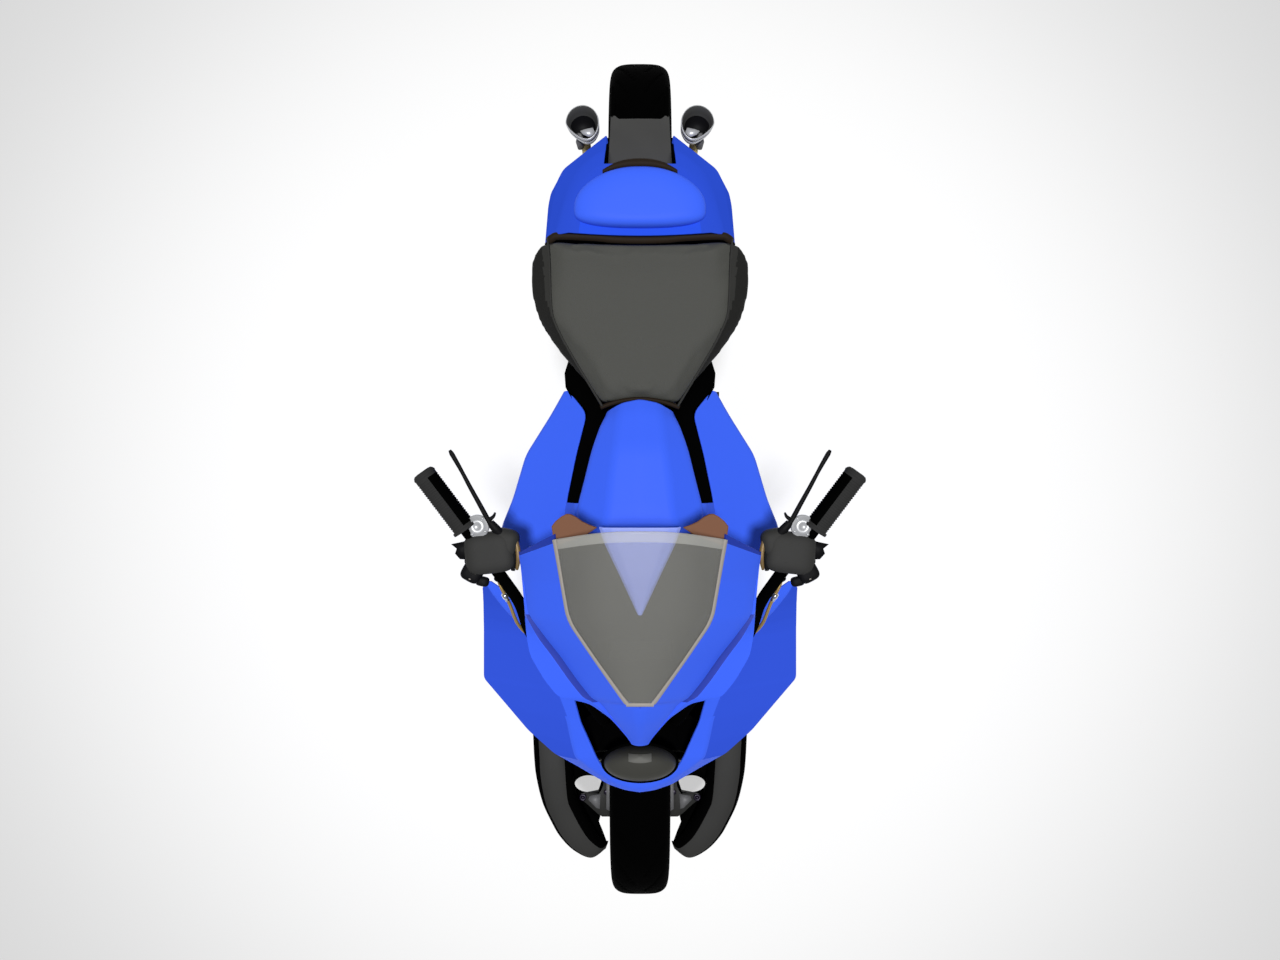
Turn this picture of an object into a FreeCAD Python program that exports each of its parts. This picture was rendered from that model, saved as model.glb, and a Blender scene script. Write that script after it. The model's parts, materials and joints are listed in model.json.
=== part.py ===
"""Sport bike with clip-on bars, full fairing and twin high mufflers, on its centre stand.

Millimetres. +Z is up, the nose points to -Y, +X is the rider's left. The origin is on
the floor, midway between the two ends of the tyres. The front tyre and the two feet of
the centre stand touch the floor, and the rear wheel hangs just clear of it.
"""
import FreeCAD
import Part
import math
import os

V = FreeCAD.Vector

# ---------------------------------------------------------------- driving dimensions
WHEELBASE = 1400.0
WHEEL_R = 300.0
REAR_LIFT = 10.0
TYRE_HALF = 67.0
RIM_R = 216.0
RAKE = math.radians(24.0)
TRAIL = 100.0
FORK_X = 100.0
PANEL_T = 4.0
RUN_GAP = 0.1

FRONT_Y = -WHEELBASE / 2
REAR_Y = WHEELBASE / 2
FRONT_Z = WHEEL_R
REAR_Z = WHEEL_R + REAR_LIFT

# The steering axis meets the floor one trail ahead of the front tyre's contact.
STEER_UP = V(0, math.sin(RAKE), math.cos(RAKE))
STEER_BACK = V(0, math.cos(RAKE), -math.sin(RAKE))


# ---------------------------------------------------------------- making shapes
def steer_y(z):
    """Y of the steering axis at height z."""
    return FRONT_Y - TRAIL + z * math.tan(RAKE)


def leg_y(z):
    """Y of the fork legs' centre lines at height z."""
    return FRONT_Y + (z - FRONT_Z) * math.tan(RAKE)


def wire(points):
    """Closed wire of straight edges through 3-D points."""
    points = [V(*p) for p in points]
    return Part.makePolygon(points + [points[0]])


def loft(sections):
    """Solid with flat-sided skin through closed sections of equal point count."""
    return Part.makeLoft([wire(s) for s in sections], True, True)


def box(x0, x1, y0, y1, z0, z1):
    return Part.makeBox(x1 - x0, y1 - y0, z1 - z0, V(x0, y0, z0))


def rod(a, b, r, r_end=None):
    """Round bar from a to b, tapered when r_end is given."""
    a, b = V(*a), V(*b)
    axis = b - a
    if r_end is None:
        return Part.makeCylinder(r, axis.Length, a, axis)
    return Part.makeCone(r, r_end, axis.Length, a, axis)


def spin(profile, centre):
    """Solid of revolution about the wheel axis; profile is (x, radius) pairs."""
    cx, cy, cz = centre
    face = Part.Face(wire([(cx + x, cy, cz + r) for x, r in profile]))
    return face.revolve(V(cx, cy, cz), V(1, 0, 0), 360)


def slab(points, x0, x1):
    """Side-view outline of (y, z) points, as thick as x0 to x1."""
    return Part.Face(wire([(x0, y, z) for y, z in points])).extrude(V(x1 - x0, 0, 0))


def plan(points, z0, z1):
    """Plan outline of (x, y) points, from z0 up to z1."""
    return Part.Face(wire([(x, y, z0) for x, y in points])).extrude(V(0, 0, z1 - z0))


def mirror(shape):
    return shape.mirror(V(0, 0, 0), V(1, 0, 0))


def fuse(*shapes):
    """One solid from several that meet, with its flat faces merged where that is sound."""
    whole = shapes[0].multiFuse(list(shapes[1:]))
    merged = whole.removeSplitter()
    return merged if merged.isValid() else whole


def bent_path(points, share=0.45):
    """Wire of straight runs through points, joined by tangent arcs."""
    points = [V(*p) for p in points]
    edges, start = [], points[0]
    for before, here, after in zip(points, points[1:], points[2:]):
        back, ahead = before - here, after - here
        reach = share * min(back.Length, ahead.Length)
        back.normalize()
        ahead.normalize()
        turn = math.pi - back.getAngle(ahead)
        if turn < 1e-4:
            continue
        radius = reach / math.tan(turn / 2)
        enter, leave = here + back * reach, here + ahead * reach
        bisector = back + ahead
        bisector.normalize()
        middle = here + bisector * (math.hypot(radius, reach) - radius)
        edges.append(Part.LineSegment(start, enter).toShape())
        edges.append(Part.Arc(enter, middle, leave).toShape())
        start = leave
    edges.append(Part.LineSegment(start, points[-1]).toShape())
    return Part.Wire(edges)


def pipe(points, radius, share=0.45):
    """Round tube, solid, swept along a bent path."""
    path = bent_path(points, share)
    start = V(*points[0])
    circle = Part.Wire(Part.Circle(start, V(*points[1]) - start, radius).toShape())
    return path.makePipeShell([circle], True, False)


def inset(line, thickness):
    """The open (d, z) line moved by thickness towards its right-hand side."""
    out = []
    for i, (d, z) in enumerate(line):
        normals = []
        for a, b in ((i - 1, i), (i, i + 1)):
            if a < 0 or b >= len(line):
                continue
            run, rise = line[b][0] - line[a][0], line[b][1] - line[a][1]
            size = math.hypot(run, rise)
            normals.append((rise / size, -run / size))
        nd = sum(n[0] for n in normals) / len(normals)
        nz = sum(n[1] for n in normals) / len(normals)
        shrink = max(nd * nd + nz * nz, 0.3)
        out.append((d + thickness * nd / shrink, z + thickness * nz / shrink))
    return out


def panel(stations, thickness=PANEL_T):
    """Thin skin through stations (x, y, turn, lean, line).

    The line of (d, z) points runs from the station's place along a direction turned
    from +X towards -Y, and its y leans back by lean for each unit of height.
    """
    sections = []
    for x, y, turn, lean, line in stations:
        turn = math.radians(turn)
        closed = line + list(reversed(inset(line, thickness)))
        base = line[0][1]
        sections.append([(x + d * math.cos(turn),
                          y - d * math.sin(turn) + lean * (z - base), z)
                         for d, z in closed])
    return loft(sections)


def both_sides(half):
    """Full-width line from a half line that starts on the centre plane."""
    return [(-d, z) for d, z in reversed(half[1:])] + half


def save(name, *solids):
    shape = solids[0] if len(solids) == 1 else Part.makeCompound(list(solids))
    if shape.ShapeType == "Compound" and len(shape.Solids) == 1:
        shape = shape.Solids[0]
    shape.exportStep(f"parts/{name}.step")
    print(f"{name:20s} solids {len(shape.Solids)}  volume {shape.Volume / 1e6:8.3f} l"
          f"  valid {shape.isValid()}")


def save_pair(name, left):
    save(f"{name}_l", left)
    save(f"{name}_r", mirror(left))


# ---------------------------------------------------------------- wheels
AXLE_R = 12.5
HUB_R = 34.0
DISC_R = 150.0
DISC_X = 63.0
SPOKES = 5

# half width, radius: bead, side wall, shoulder, crown
TYRE_HALF_PROFILE = [(54, RIM_R), (64, 232), (TYRE_HALF, 255), (60, 280),
                     (42, 296), (15, WHEEL_R)]


def tyre(centre, widen):
    right = [(x * widen, r) for x, r in TYRE_HALF_PROFILE]
    left = [(-x, r) for x, r in reversed(right)]
    return spin(right + left, centre)


def rim(centre, hub_half):
    """Rim ring, hub and spokes of one cast wheel, bored for its axle."""
    cx, cy, cz = centre
    ring = spin([(-56, RIM_R), (56, RIM_R), (56, 202), (30, 190), (-30, 190),
                 (-56, 202)], centre)
    hub = spin([(-hub_half, 0), (-hub_half, HUB_R), (hub_half, HUB_R),
                (hub_half, 0)], centre)
    spokes = []
    for i in range(SPOKES):
        blade = loft([[(cx + s * w, cy + t * b, cz + h)
                       for s, t in ((1, 1), (-1, 1), (-1, -1), (1, -1))]
                      for w, b, h in ((20, 22, 20), (15, 13, 110), (24, 20, 196))])
        blade.rotate(V(*centre), V(1, 0, 0), i * 360 / SPOKES)
        spokes.append(blade)
    bore = rod((cx - 200, cy, cz), (cx + 200, cy, cz), AXLE_R + RUN_GAP)
    return fuse(ring, hub, *spokes).cut(bore)


def disc(centre, x, radius, inner):
    """Brake disc on its carrier, a flat ring about the hub."""
    cx, cy, cz = centre
    return spin([(x - 2.5, inner), (x - 2.5, radius), (x + 2.5, radius),
                 (x + 2.5, inner)], (cx, cy, cz))


def wheels():
    front = (0, FRONT_Y, FRONT_Z)
    rear = (0, REAR_Y, REAR_Z)
    save("front_tyre", tyre(front, 1.0))
    save("front_rim", rim(front, 56))
    save("front_discs", disc(front, DISC_X, DISC_R, HUB_R - 6),
         disc(front, -DISC_X, DISC_R, HUB_R - 6))
    save("rear_tyre", tyre(rear, 1.04))
    save("rear_rim", rim(rear, 56))
    save("rear_disc", disc(rear, -DISC_X, 110, HUB_R - 6))
    save("rear_sprocket", disc(rear, SPROCKET_X, SPROCKET_R, HUB_R - 6))


# ---------------------------------------------------------------- steering body
FORK_TOP_Z = 736.0
FORK_UPPER_R = 27.0
FORK_LOWER_R = 21.0
FORK_JOIN_Z = 520.0
YOKE_T = 24.0
TOP_YOKE_Z = 712.0
BOTTOM_YOKE_Z = 604.0
STEM_R = 16.0
GRIP_R = 18.0
BAR_R = 11.0
BAR_END_DEPTH = 30.0

# Bar centre line, +X side: yoke riser, under the cowl, past its edge, grip ends.
BAR_ROUTE = [(66, -474, 700), (70, -458, 812), (112, -410, 834), (204, -302, 846),
             (226, -222, 872), (246, -184, 894), (300, -108, 908), (384, 10, 930)]
GRIP_IN = V(*BAR_ROUTE[-2])
GRIP_OUT = V(*BAR_ROUTE[-1])
# Brake hose, +X side: along the outside of the bar, from the housing to the yoke.
HOSE_ROUTE = [(264, -168, 878), (256, -196, 876), (242, -228, 866), (229, -268, 854),
              (218, -310, 844), (129, -408, 830), (80, -446, 820)]
HOSE_R = 3.5


def on_leg(x, z, ahead=0.0):
    """Point beside a fork leg at height z, moved ahead of its centre line."""
    return (x, leg_y(z) - ahead, z)


def fork():
    for name, low, high, radius in (("fork_uppers", FORK_JOIN_Z, FORK_TOP_Z, FORK_UPPER_R),
                                    ("fork_sliders", 360, FORK_JOIN_Z, FORK_LOWER_R)):
        leg = rod(on_leg(FORK_X, low), on_leg(FORK_X, high), radius)
        save(name, leg, mirror(leg))
    foot = fork_foot()
    save("fork_feet", foot, mirror(foot))
    save("front_axle", rod((-FORK_X - 28, FRONT_Y, FRONT_Z), (FORK_X + 28, FRONT_Y, FRONT_Z),
                           AXLE_R))


def fork_foot():
    """Axle clamp below one slider, +X side."""
    top, half = leg_y(360), 26
    foot = slab([(top - half * STEER_BACK.y, 360 - half * STEER_BACK.z),
                 (top + half * STEER_BACK.y, 360 + half * STEER_BACK.z),
                 (FRONT_Y + 28, FRONT_Z - 4), (FRONT_Y + 14, FRONT_Z - 26),
                 (FRONT_Y - 14, FRONT_Z - 26), (FRONT_Y - 28, FRONT_Z)],
                FORK_X - 22, FORK_X + 22)
    return foot.cut(rod((0, FRONT_Y, FRONT_Z), (200, FRONT_Y, FRONT_Z), AXLE_R))


def yoke(z):
    """Plate across both legs and the stem, square to the steering axis."""
    ahead = (steer_y(z) - leg_y(z)) * math.cos(RAKE)
    middle = V(0, steer_y(z), z)
    outline = [(-129, -14), (-101, -35), (-45, -30), (45, -30), (101, -35), (129, -14),
               (129, 14), (101, 35), (40, ahead + 34), (-40, ahead + 34), (-101, 35),
               (-129, 14)]
    # d is along X; back is measured from the legs' plane along STEER_BACK
    legs = middle - STEER_BACK * ahead
    face = Part.Face(wire([tuple(legs + V(d, 0, 0) + STEER_BACK * back
                                 - STEER_UP * (YOKE_T / 2)) for d, back in outline]))
    plate = face.extrude(STEER_UP * YOKE_T)
    for side in (1, -1):
        plate = plate.cut(rod(on_leg(side * FORK_X, z - 80), on_leg(side * FORK_X, z + 80),
                              FORK_UPPER_R))
    return plate


def yokes():
    save("top_yoke", yoke(TOP_YOKE_Z))
    stem = rod((0, steer_y(BOTTOM_YOKE_Z), BOTTOM_YOKE_Z),
               (0, steer_y(TOP_YOKE_Z - 13), TOP_YOKE_Z - 13), STEM_R)
    save("bottom_yoke", fuse(yoke(BOTTOM_YOKE_Z), stem))


def bars():
    bar = pipe(BAR_ROUTE, BAR_R, 0.4).cut(yoke(TOP_YOKE_Z))
    bar = max(bar.Solids, key=lambda part: part.Volume)
    along = GRIP_OUT - GRIP_IN
    along.normalize()
    bar = bar.cut(rod(tuple(GRIP_OUT - along * BAR_END_DEPTH), tuple(GRIP_OUT + along * 5), 3))
    save("handlebars", bar, mirror(bar))
    grip = rod(tuple(GRIP_IN + along * 24), tuple(GRIP_OUT), GRIP_R)
    grip = grip.cut(rod(tuple(GRIP_IN - along * 5), tuple(GRIP_OUT + along * 8), BAR_R))
    save("grips", grip, mirror(grip))
    hose = pipe(HOSE_ROUTE, HOSE_R).cut(bar)
    save("brake_hoses", hose, mirror(hose))


def controls():
    housing = plan(HOUSING, 882, 926)
    along = GRIP_OUT - GRIP_IN
    along.normalize()
    bore = rod(tuple(GRIP_IN - along * 150), tuple(GRIP_IN + along * 60), BAR_R + 3)
    housing = housing.cut(bore).cut(rod(tuple(GRIP_IN + along * 10),
                                        tuple(GRIP_IN + along * 60), GRIP_R + 1))
    save("control_housings", housing, mirror(housing))
    lever = loft([[(264, -76, 915), (272, -82, 915), (272, -82, 925), (264, -76, 925)],
                  [(300, -8, 922), (307, -13, 922), (307, -13, 932), (300, -8, 932)],
                  [(334, 54, 928), (340, 50, 928), (340, 50, 936), (334, 54, 936)]])
    save("levers", lever, mirror(lever))


def brakes():
    caliper = box(48, 78, -30, 30, -25, 25)
    caliper = caliper.cut(box(DISC_X - 4, DISC_X + 4, -40, 40, -40, 13))
    caliper.rotate(V(0, 0, 0), V(1, 0, 0), -24)
    caliper.translate(V(0, FRONT_Y + 40, FRONT_Z + 140))
    save("front_calipers", caliper, mirror(caliper))


# Plan of the control housing, +X side
HOUSING = [(220, -114), (236, -98), (290, -98), (312, -114), (316, -150), (300, -172),
           (238, -174), (222, -150)]
# Guard, +X side, from its rear end under the cowl round to its nose beside the tyre:
# outer x, y, inner x, y, centre z, half height
GUARD = [(258, -600, 184, -600, 372, 20), (255, -666, 176, -665, 370, 25),
         (250, -714, 168, -700, 368, 27), (235, -775, 160, -757, 364, 28),
         (214, -824, 147, -792, 360, 28), (192, -863, 127, -835, 357, 27),
         (160, -897, 114, -859, 354, 25), (119, -915, 93, -881, 352, 20),
         (85, -894, 78, -881, 352, 8)]
# Plan of the bracket that ties the guard to the fork foot, +X side
BRACKET = [(71, -700), (92, -700), (92, -753), (150, -762), (176, -764), (140, -820),
           (98, -824), (88, -834), (71, -820)]


def guards():
    """Hollow-looking horn beside the tyre: eight-sided rings across its centre line."""
    sections = []
    corner = math.radians(22.5)
    for x_out, y_out, x_in, y_in, z, high in GUARD:
        outer, inner = V(x_out, y_out, z), V(x_in, y_in, z)
        middle, half = (outer + inner) * 0.5, (outer - inner) * 0.5
        ring = []
        for k in range(8):
            a = corner * (2 * k + 1)
            ring.append(tuple(middle + half * (math.cos(a) / math.cos(corner))
                              + V(0, 0, high) * (math.sin(a) / math.cos(corner))))
        sections.append(ring)
    guard = fuse(loft(sections), plan(BRACKET, 338, 350)).cut(fork_foot())
    save("wheel_guards", guard, mirror(guard))


# ---------------------------------------------------------------- frame and engine
SWING_Y = 130.0
SWING_Z = 420.0
SPROCKET_X = 84.0
SPROCKET_R = 92.0
FRONT_SPROCKET_R = 38.0
FRONT_SPROCKET_Y = 58.0
FRONT_SPROCKET_Z = 428.0

# y, inner x, outer x, bottom z, top z
SWINGARM = [(100, 78, 98, 394, 445), (205, 78, 99, 372, 428), (300, 78, 112, 352, 414),
            (540, 82, 118, 296, 350), (590, 96, 118, 292, 336), (745, 96, 118, 290, 330)]
BOBBIN_Y = 732.0
CHAIN_HALF = 8.0
CHAIN_T = 12.0
# y, spar centre x, bottom z, top z
SPAR = [(-452, 40, 630, 668), (-380, 76, 632, 715), (-250, 122, 650, 746),
        (-40, 136, 655, 748), (60, 116, 640, 748), (130, 94, 620, 742)]
SPAR_HALF = 15.0


def frame_parts():
    head = rod((0, steer_y(622), 622), (0, steer_y(694), 694), 36)
    gusset = slab([(-500, 630), (-500, 660), (-440, 672), (-400, 690), (-400, 640)], -26, 26)
    stay = slab([(-520, 640), (-520, 680), (-562, 690), (-574, 740), (-560, 788),
                 (-568, 788), (-586, 740), (-582, 660)], -30, 30)
    bore = rod((0, steer_y(560), 560), (0, steer_y(760), 760), STEM_R + 1.5)
    spar = loft([[(x - SPAR_HALF, y, low), (x + SPAR_HALF, y, low),
                  (x + SPAR_HALF, y, high), (x - SPAR_HALF, y, high)]
                 for y, x, low, high in SPAR])
    spar = spar.cut(fuse(head, gusset, stay))
    save("main_frame", fuse(head, gusset, stay).cut(bore), spar, mirror(spar))
    plate = slab([(130, 742), (175, 735), (190, 600), (175, 380), (110, 380), (95, 470),
                  (130, 620)], 106, 122)
    plate = plate.cut(rod((0, SWING_Y, SWING_Z), (200, SWING_Y, SWING_Z), 14))
    carrier = slab([(60, 300), (85, 380), (190, 318), (194, 288)], 50, 70)
    carrier = carrier.cut(rod((0, STAND_Y, STAND_Z), (200, STAND_Y, STAND_Z), 8))
    save("pivot_plates", plate, mirror(plate), carrier, mirror(carrier))
    save("swingarm_pin", rod((-126, SWING_Y, SWING_Z), (126, SWING_Y, SWING_Z), 14))
    rail = loft([[(x - 11, y, z - 12), (x + 11, y, z - 12), (x + 11, y, z + 12), (x - 11, y, z + 12)]
                 for y, x, z in ((192, 112, 700), (330, 100, 690), (590, 76, 676))])
    cross = [box(-95, 95, y, y + 20, 680, 700) for y in (330, 470)]
    save("subframe", fuse(rail, mirror(rail), *cross))


def engine():
    crank = slab([(-190, 300), (60, 300), (85, 380), (60, 480), (-60, 520), (-190, 480)],
                 -72, 72)
    head = slab([(-240, 440), (-60, 500), (-110, 632), (-270, 610)], -100, 100)
    covers = rod((-150, -66, 390), (150, -66, 390), 60)
    save("engine_block", fuse(crank, head, covers))
    save("radiator", slab([(-352, 420), (-330, 420), (-310, 610), (-332, 614)], -130, 130))


def swingarm():
    arm = loft([[(low_x, y, low), (x, y, low), (x, y, high), (low_x, y, high)]
                for y, low_x, x, low, high in SWINGARM])
    cross = slab([(100, 394), (330, 352), (330, 412), (100, 445)], -90, 90)
    body = fuse(arm, mirror(arm), cross)
    for cut in (rod((-200, SWING_Y, SWING_Z), (200, SWING_Y, SWING_Z), 14),
                rod((-200, REAR_Y, REAR_Z), (200, REAR_Y, REAR_Z), AXLE_R)):
        body = body.cut(cut)
    for side in (1, -1):
        body = body.cut(rod((side * 95, BOBBIN_Y, REAR_Z), (side * 125, BOBBIN_Y, REAR_Z), 4))
    save("swingarm", body)
    save("rear_axle", rod((-126, REAR_Y, REAR_Z), (126, REAR_Y, REAR_Z), AXLE_R))


# ---------------------------------------------------------------- body work
# y, raised half, top z, shoulder half, shoulder z, lower half, lower z
TANK = [(140, 38, 830, 66, 798, 60, 765), (60, 46, 862, 92, 826, 84, 765),
        (-56, 60, 872, 121, 834, 104, 765), (-84, 64, 870, 119, 832, 104, 765)]
# Dash hood ahead of the tank: y, half width, top z
HOOD = [(-86, 62, 948), (-112, 56, 946), (-236, 3, 934)]
LINER_Z = 925.0
LINER_T = 4.0
# Liner tray under the screen: y, half width of its floor, top z of its wall
LINER = [(-88, 152, 1006), (-116, 152, 1006), (-239, 134, 968), (-315, 92, 950),
         (-400, 42, 934), (-412, 24, 930)]
# Black cover beside the tank and the seat's waist, +X side, in plan
COVER = [(58, -84), (58, 120), (70, 150), (96, 190), (128, 238), (137, 212), (148, 198),
         (148, 178), (112, 131), (132, 51), (150, -40), (152, -84)]
# y, top half, top z, side half, side z, bottom half, bottom z
SEAT = [(142, 72, 800, 84, 782, 84, 765), (235, 126, 800, 148, 766, 122, 742),
        (313, 166, 805, 194, 770, 140, 742), (389, 174, 812, 211, 772, 150, 742),
        (458, 176, 834, 186, 800, 150, 742)]
# y, edge half, edge z, middle half, middle z, crown z
SCREEN = [(-394, 26, 962, 13, 966, 968), (-309, 79, 985, 46, 1020, 1028),
          (-238, 124, 1002, 72, 1058, 1070), (-168, 134, 1020, 80, 1086, 1100),
          (-99, 144, 1040, 56, 1114, 1120)]
SCREEN_LEAN = 0.23
PLATE_BOLTS = 100.0
# y, centre z, inner half, inner z, seam half, seam z, lip half, lip z
COWL = [(-490, 874, 8, 872, 15, 866, 17, 860), (-434, 930, 24, 926, 60, 900, 64, 893),
        (-408, 948, 29, 946, 84, 908, 92, 902), (-392, 956, 34, 953, 96, 912, 148, 905),
        (-315, 985, 82, 974, 148, 922, 196, 917), (-280, 995, 104, 981, 172, 928, 202, 921),
        (-239, 1005, 126, 988, 200, 935, 203, 922), (-116, 1030, 148, 1018, 210, 955, 212, 937)]
# Wing: place x, y, turn, then (d, z) of inner edge, crease, outer edge, tucked edge
WING = [(0, -197, 0, (290, 784), (302, 778), (319, 706), (290, 650)),
        (0, -218, 0, (256, 794), (290, 781), (319, 703), (284, 645)),
        (0, -253, 0, (236, 800), (262, 781), (320, 698), (276, 632)),
        (0, -296, 0, (218, 802), (228, 780), (321, 692), (250, 604)),
        (0, -312, 0, (168, 804), (216, 780), (321, 690), (228, 585)),
        (0, -412, 0, (112, 808), (158, 790), (323, 680), (222, 575)),
        (0, -464, 0, (112, 804), (135, 794), (272, 688), (206, 600)),
        (0, -510, 0, (96, 800), (129, 786), (231, 693), (185, 625)),
        (0, -514, 12, (88, 795), (126, 782), (180, 715), (152, 665)),
        (0, -507, 30, (89, 790), (112, 776), (136, 740), (135, 718)),
        (0, -493, 60, (98, 783), (108, 776), (120, 756), (117, 738)),
        (0, -500, 90, (90, 780), (102, 776), (115, 765), (111, 748))]
# Side fairing, +X: y, inner top, shoulder, waist, lower, tucked edge as (x, z)
FAIRING = [(178, (146, 739), (152, 730), (156, 692), (156, 650), (152, 620)),
           (131, (107, 760), (180, 716), (186, 600), (182, 500), (174, 440)),
           (51, (126, 766), (232, 706), (234, 560), (214, 400), (180, 300)),
           (-38, (145, 770), (259, 700), (256, 540), (226, 360), (160, 236)),
           (-46, (128, 802), (260, 700), (256, 540), (226, 360), (158, 232)),
           (-102, (134, 802), (285, 696), (262, 530), (228, 350), (150, 216)),
           (-135, (160, 772), (268, 700), (250, 520), (226, 345), (146, 212)),
           (-166, (170, 760), (222, 726), (232, 520), (222, 345), (144, 214)),
           (-300, (186, 700), (218, 660), (226, 520), (216, 350), (140, 226)),
           (-396, (196, 620), (212, 590), (214, 520), (200, 380), (138, 262))]
# Copper trim behind the cowl's rear corner, +X side, in plan
TRIM = [(70, -82), (92, -74), (106, -65), (117, -58), (124, -57), (142, -69), (150, -78),
        (146, -108), (146, -128), (100, -128), (100, -92)]


def ribbed(rows):
    """Loft of eight-sided sections from rows like TANK and SEAT."""
    sections = []
    for y, top, z_top, side, z_side, low, z_low in rows:
        half = [(top, z_top), (side, z_side), (low, z_low)]
        full = half + [(-x, z) for x, z in reversed(half)]
        sections.append([(x, y, z) for x, z in full])
    return loft(sections)


def tank_and_seat():
    tank, seat = ribbed(TANK), ribbed(SEAT)
    save("fuel_tank", tank)
    save("seat", seat)
    cover = plan(COVER, 748, 752).cut(seat).cut(tank).cut(side_panel())
    save("frame_covers", cover, mirror(cover))
    hood = loft([[(half, y, LINER_Z), (half * 0.9, y, top), (-half * 0.9, y, top),
                  (-half, y, LINER_Z)] for y, half, top in HOOD])
    save("dash_hood", hood)


def tail():
    base = [(75, 686), (169, 606), (178, 564), (190, 494), (186, 462)]
    crown = [(66, 600), (104, 584), (121, 540), (121, 490), (118, 462)]
    bottom, top = 700, 852
    shape = loft([[(x, y, bottom) for x, y in base] + [(-x, y, bottom) for x, y in reversed(base)],
                  [(x, y, top) for x, y in crown] + [(-x, y, top) for x, y in reversed(crown)]])
    notch = box(-72, 72, 600, 700, 600, 900)
    oval = [(66, 598), (102, 580), (119, 540), (119, 492), (108, 466)]
    rise = loft([[(x, y, top) for x, y in oval] + [(-x, y, top) for x, y in reversed(oval)],
                 [(x * 0.8, 530 + (y - 530) * 0.8, 888) for x, y in oval]
                 + [(-x * 0.8, 530 + (y - 530) * 0.8, 888) for x, y in reversed(oval)]])
    save("tail_cowl", fuse(shape.cut(notch), rise))
    save("tail_light", box(-58, 58, 601, 622, 720, 775))
    guard = loft([[(half, y, z), (half, y, z + 5), (-half, y, z + 5), (-half, y, z)]
                  for y, half, z in ((598, 80, 664), (664, 74, 652), (700, 66, 644),
                                     (763, 63, 630))])
    strip = loft([[(49, y, z), (63, y, z), (63, y, z + 5), (49, y, z + 5)]
                  for y, z in ((755, 632), (800, 620), (842, 600))])
    guard = fuse(guard, strip, mirror(strip))
    tab = box(-62, 62, 604, 609, 655, 698)
    for side in (1, -1):
        tab = tab.cut(rod((side * PLATE_BOLTS / 2, 590, 684), (side * PLATE_BOLTS / 2, 630, 684), 3.2))
    save("rear_mudguard", fuse(guard, tab))


def screen():
    rows = []
    for y, edge, z_edge, middle, z_middle, crown in SCREEN:
        half = [(0, crown), (middle, z_middle), (edge, z_edge)]
        rows.append((0, y, 0, SCREEN_LEAN, both_sides(half)))
    save("windscreen", panel(rows, -3.5))


def cowl():
    rows = []
    for y, centre, *pairs in COWL:
        half = [(0, centre)] + [(pairs[i], pairs[i + 1]) for i in (0, 2, 4)]
        rows.append((0, y, 0, 0.0, both_sides(half)))
    skin = panel(rows, -PANEL_T)
    hole = [(20, -392), (76, -310), (118, -236), (136, -100), (142, -60)]
    skin = skin.cut(plan(hole + [(-x, y) for x, y in reversed(hole)], 700, 1200))
    save("upper_cowl", skin)
    tray = panel([(0, y, 0, 0.0, both_sides([(0, LINER_Z), (half, LINER_Z), (half + 5, top)]))
                  for y, half, top in LINER], LINER_T)
    save("cockpit_liner", tray.cut(skin))
    trim = plan(TRIM, 1002, 1018).cut(skin).cut(tray)
    save("cockpit_trim", trim, mirror(trim))
    wing = panel([(x, y, turn, 0.0, list(line)) for x, y, turn, *line in WING], -PANEL_T)
    save_pair("cowl_wing", wing)


def side_panel():
    """Side fairing, +X side."""
    return panel([(0, y, 0, 0.0, list(line)) for y, *line in FAIRING], -PANEL_T)


def fairings():
    save_pair("side_fairing", side_panel().cut(ribbed(TANK)))
    save("belly_pan", loft([[(x, y, z) for x, z in ((136, 262 - d), (110, 205 - d / 2),
                                                    (-110, 205 - d / 2), (-136, 262 - d),
                                                    (-130, 268 - d), (-106, 211 - d / 2),
                                                    (106, 211 - d / 2), (130, 268 - d))]
                            for y, d in ((-360, 0), (-100, 20), (-24, 14))]))


def headlamp():
    rows = [(-494, 34, 812, 850), (-520, 58, 796, 842), (-556, 58, 790, 818),
            (-584, 30, 790, 800)]
    save("headlamp", loft([[(half, y, low), (half, y, top - 8), (half * 0.6, y, top),
                            (-half * 0.6, y, top), (-half, y, top - 8), (-half, y, low)]
                           for y, half, low, top in rows]))
    save("instrument", slab([(-322, 925), (-298, 925), (-276, 952), (-282, 966)], -62, 62))


# ---------------------------------------------------------------- drive and controls
def chain():
    """Closed band around both sprockets, in one vertical plane."""
    rear = V(SPROCKET_X, REAR_Y, REAR_Z)
    front = V(SPROCKET_X, FRONT_SPROCKET_Y, FRONT_SPROCKET_Z)
    loops = []
    for extra in (1.0, 1.0 + CHAIN_T):
        big, small = SPROCKET_R + extra, FRONT_SPROCKET_R + extra
        gap = front - rear
        tilt = math.atan2(gap.z, gap.y)
        open_angle = math.acos((big - small) / gap.Length)
        a1, a2 = tilt + open_angle, tilt - open_angle

        def at(c, r, a):
            return V(c.x, c.y + r * math.cos(a), c.z + r * math.sin(a))
        edges = [Part.Arc(at(rear, big, a1), at(rear, big, tilt + math.pi),
                          at(rear, big, a2)).toShape(),
                 Part.LineSegment(at(rear, big, a2), at(front, small, a2)).toShape(),
                 Part.Arc(at(front, small, a2), at(front, small, tilt),
                          at(front, small, a1)).toShape(),
                 Part.LineSegment(at(front, small, a1), at(rear, big, a1)).toShape()]
        face = Part.Face(Part.Wire(edges))
        solid = face.extrude(V(2 * CHAIN_HALF, 0, 0))
        solid.translate(V(-CHAIN_HALF, 0, 0))
        loops.append(solid)
    save("chain", loops[1].cut(loops[0]))


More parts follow.
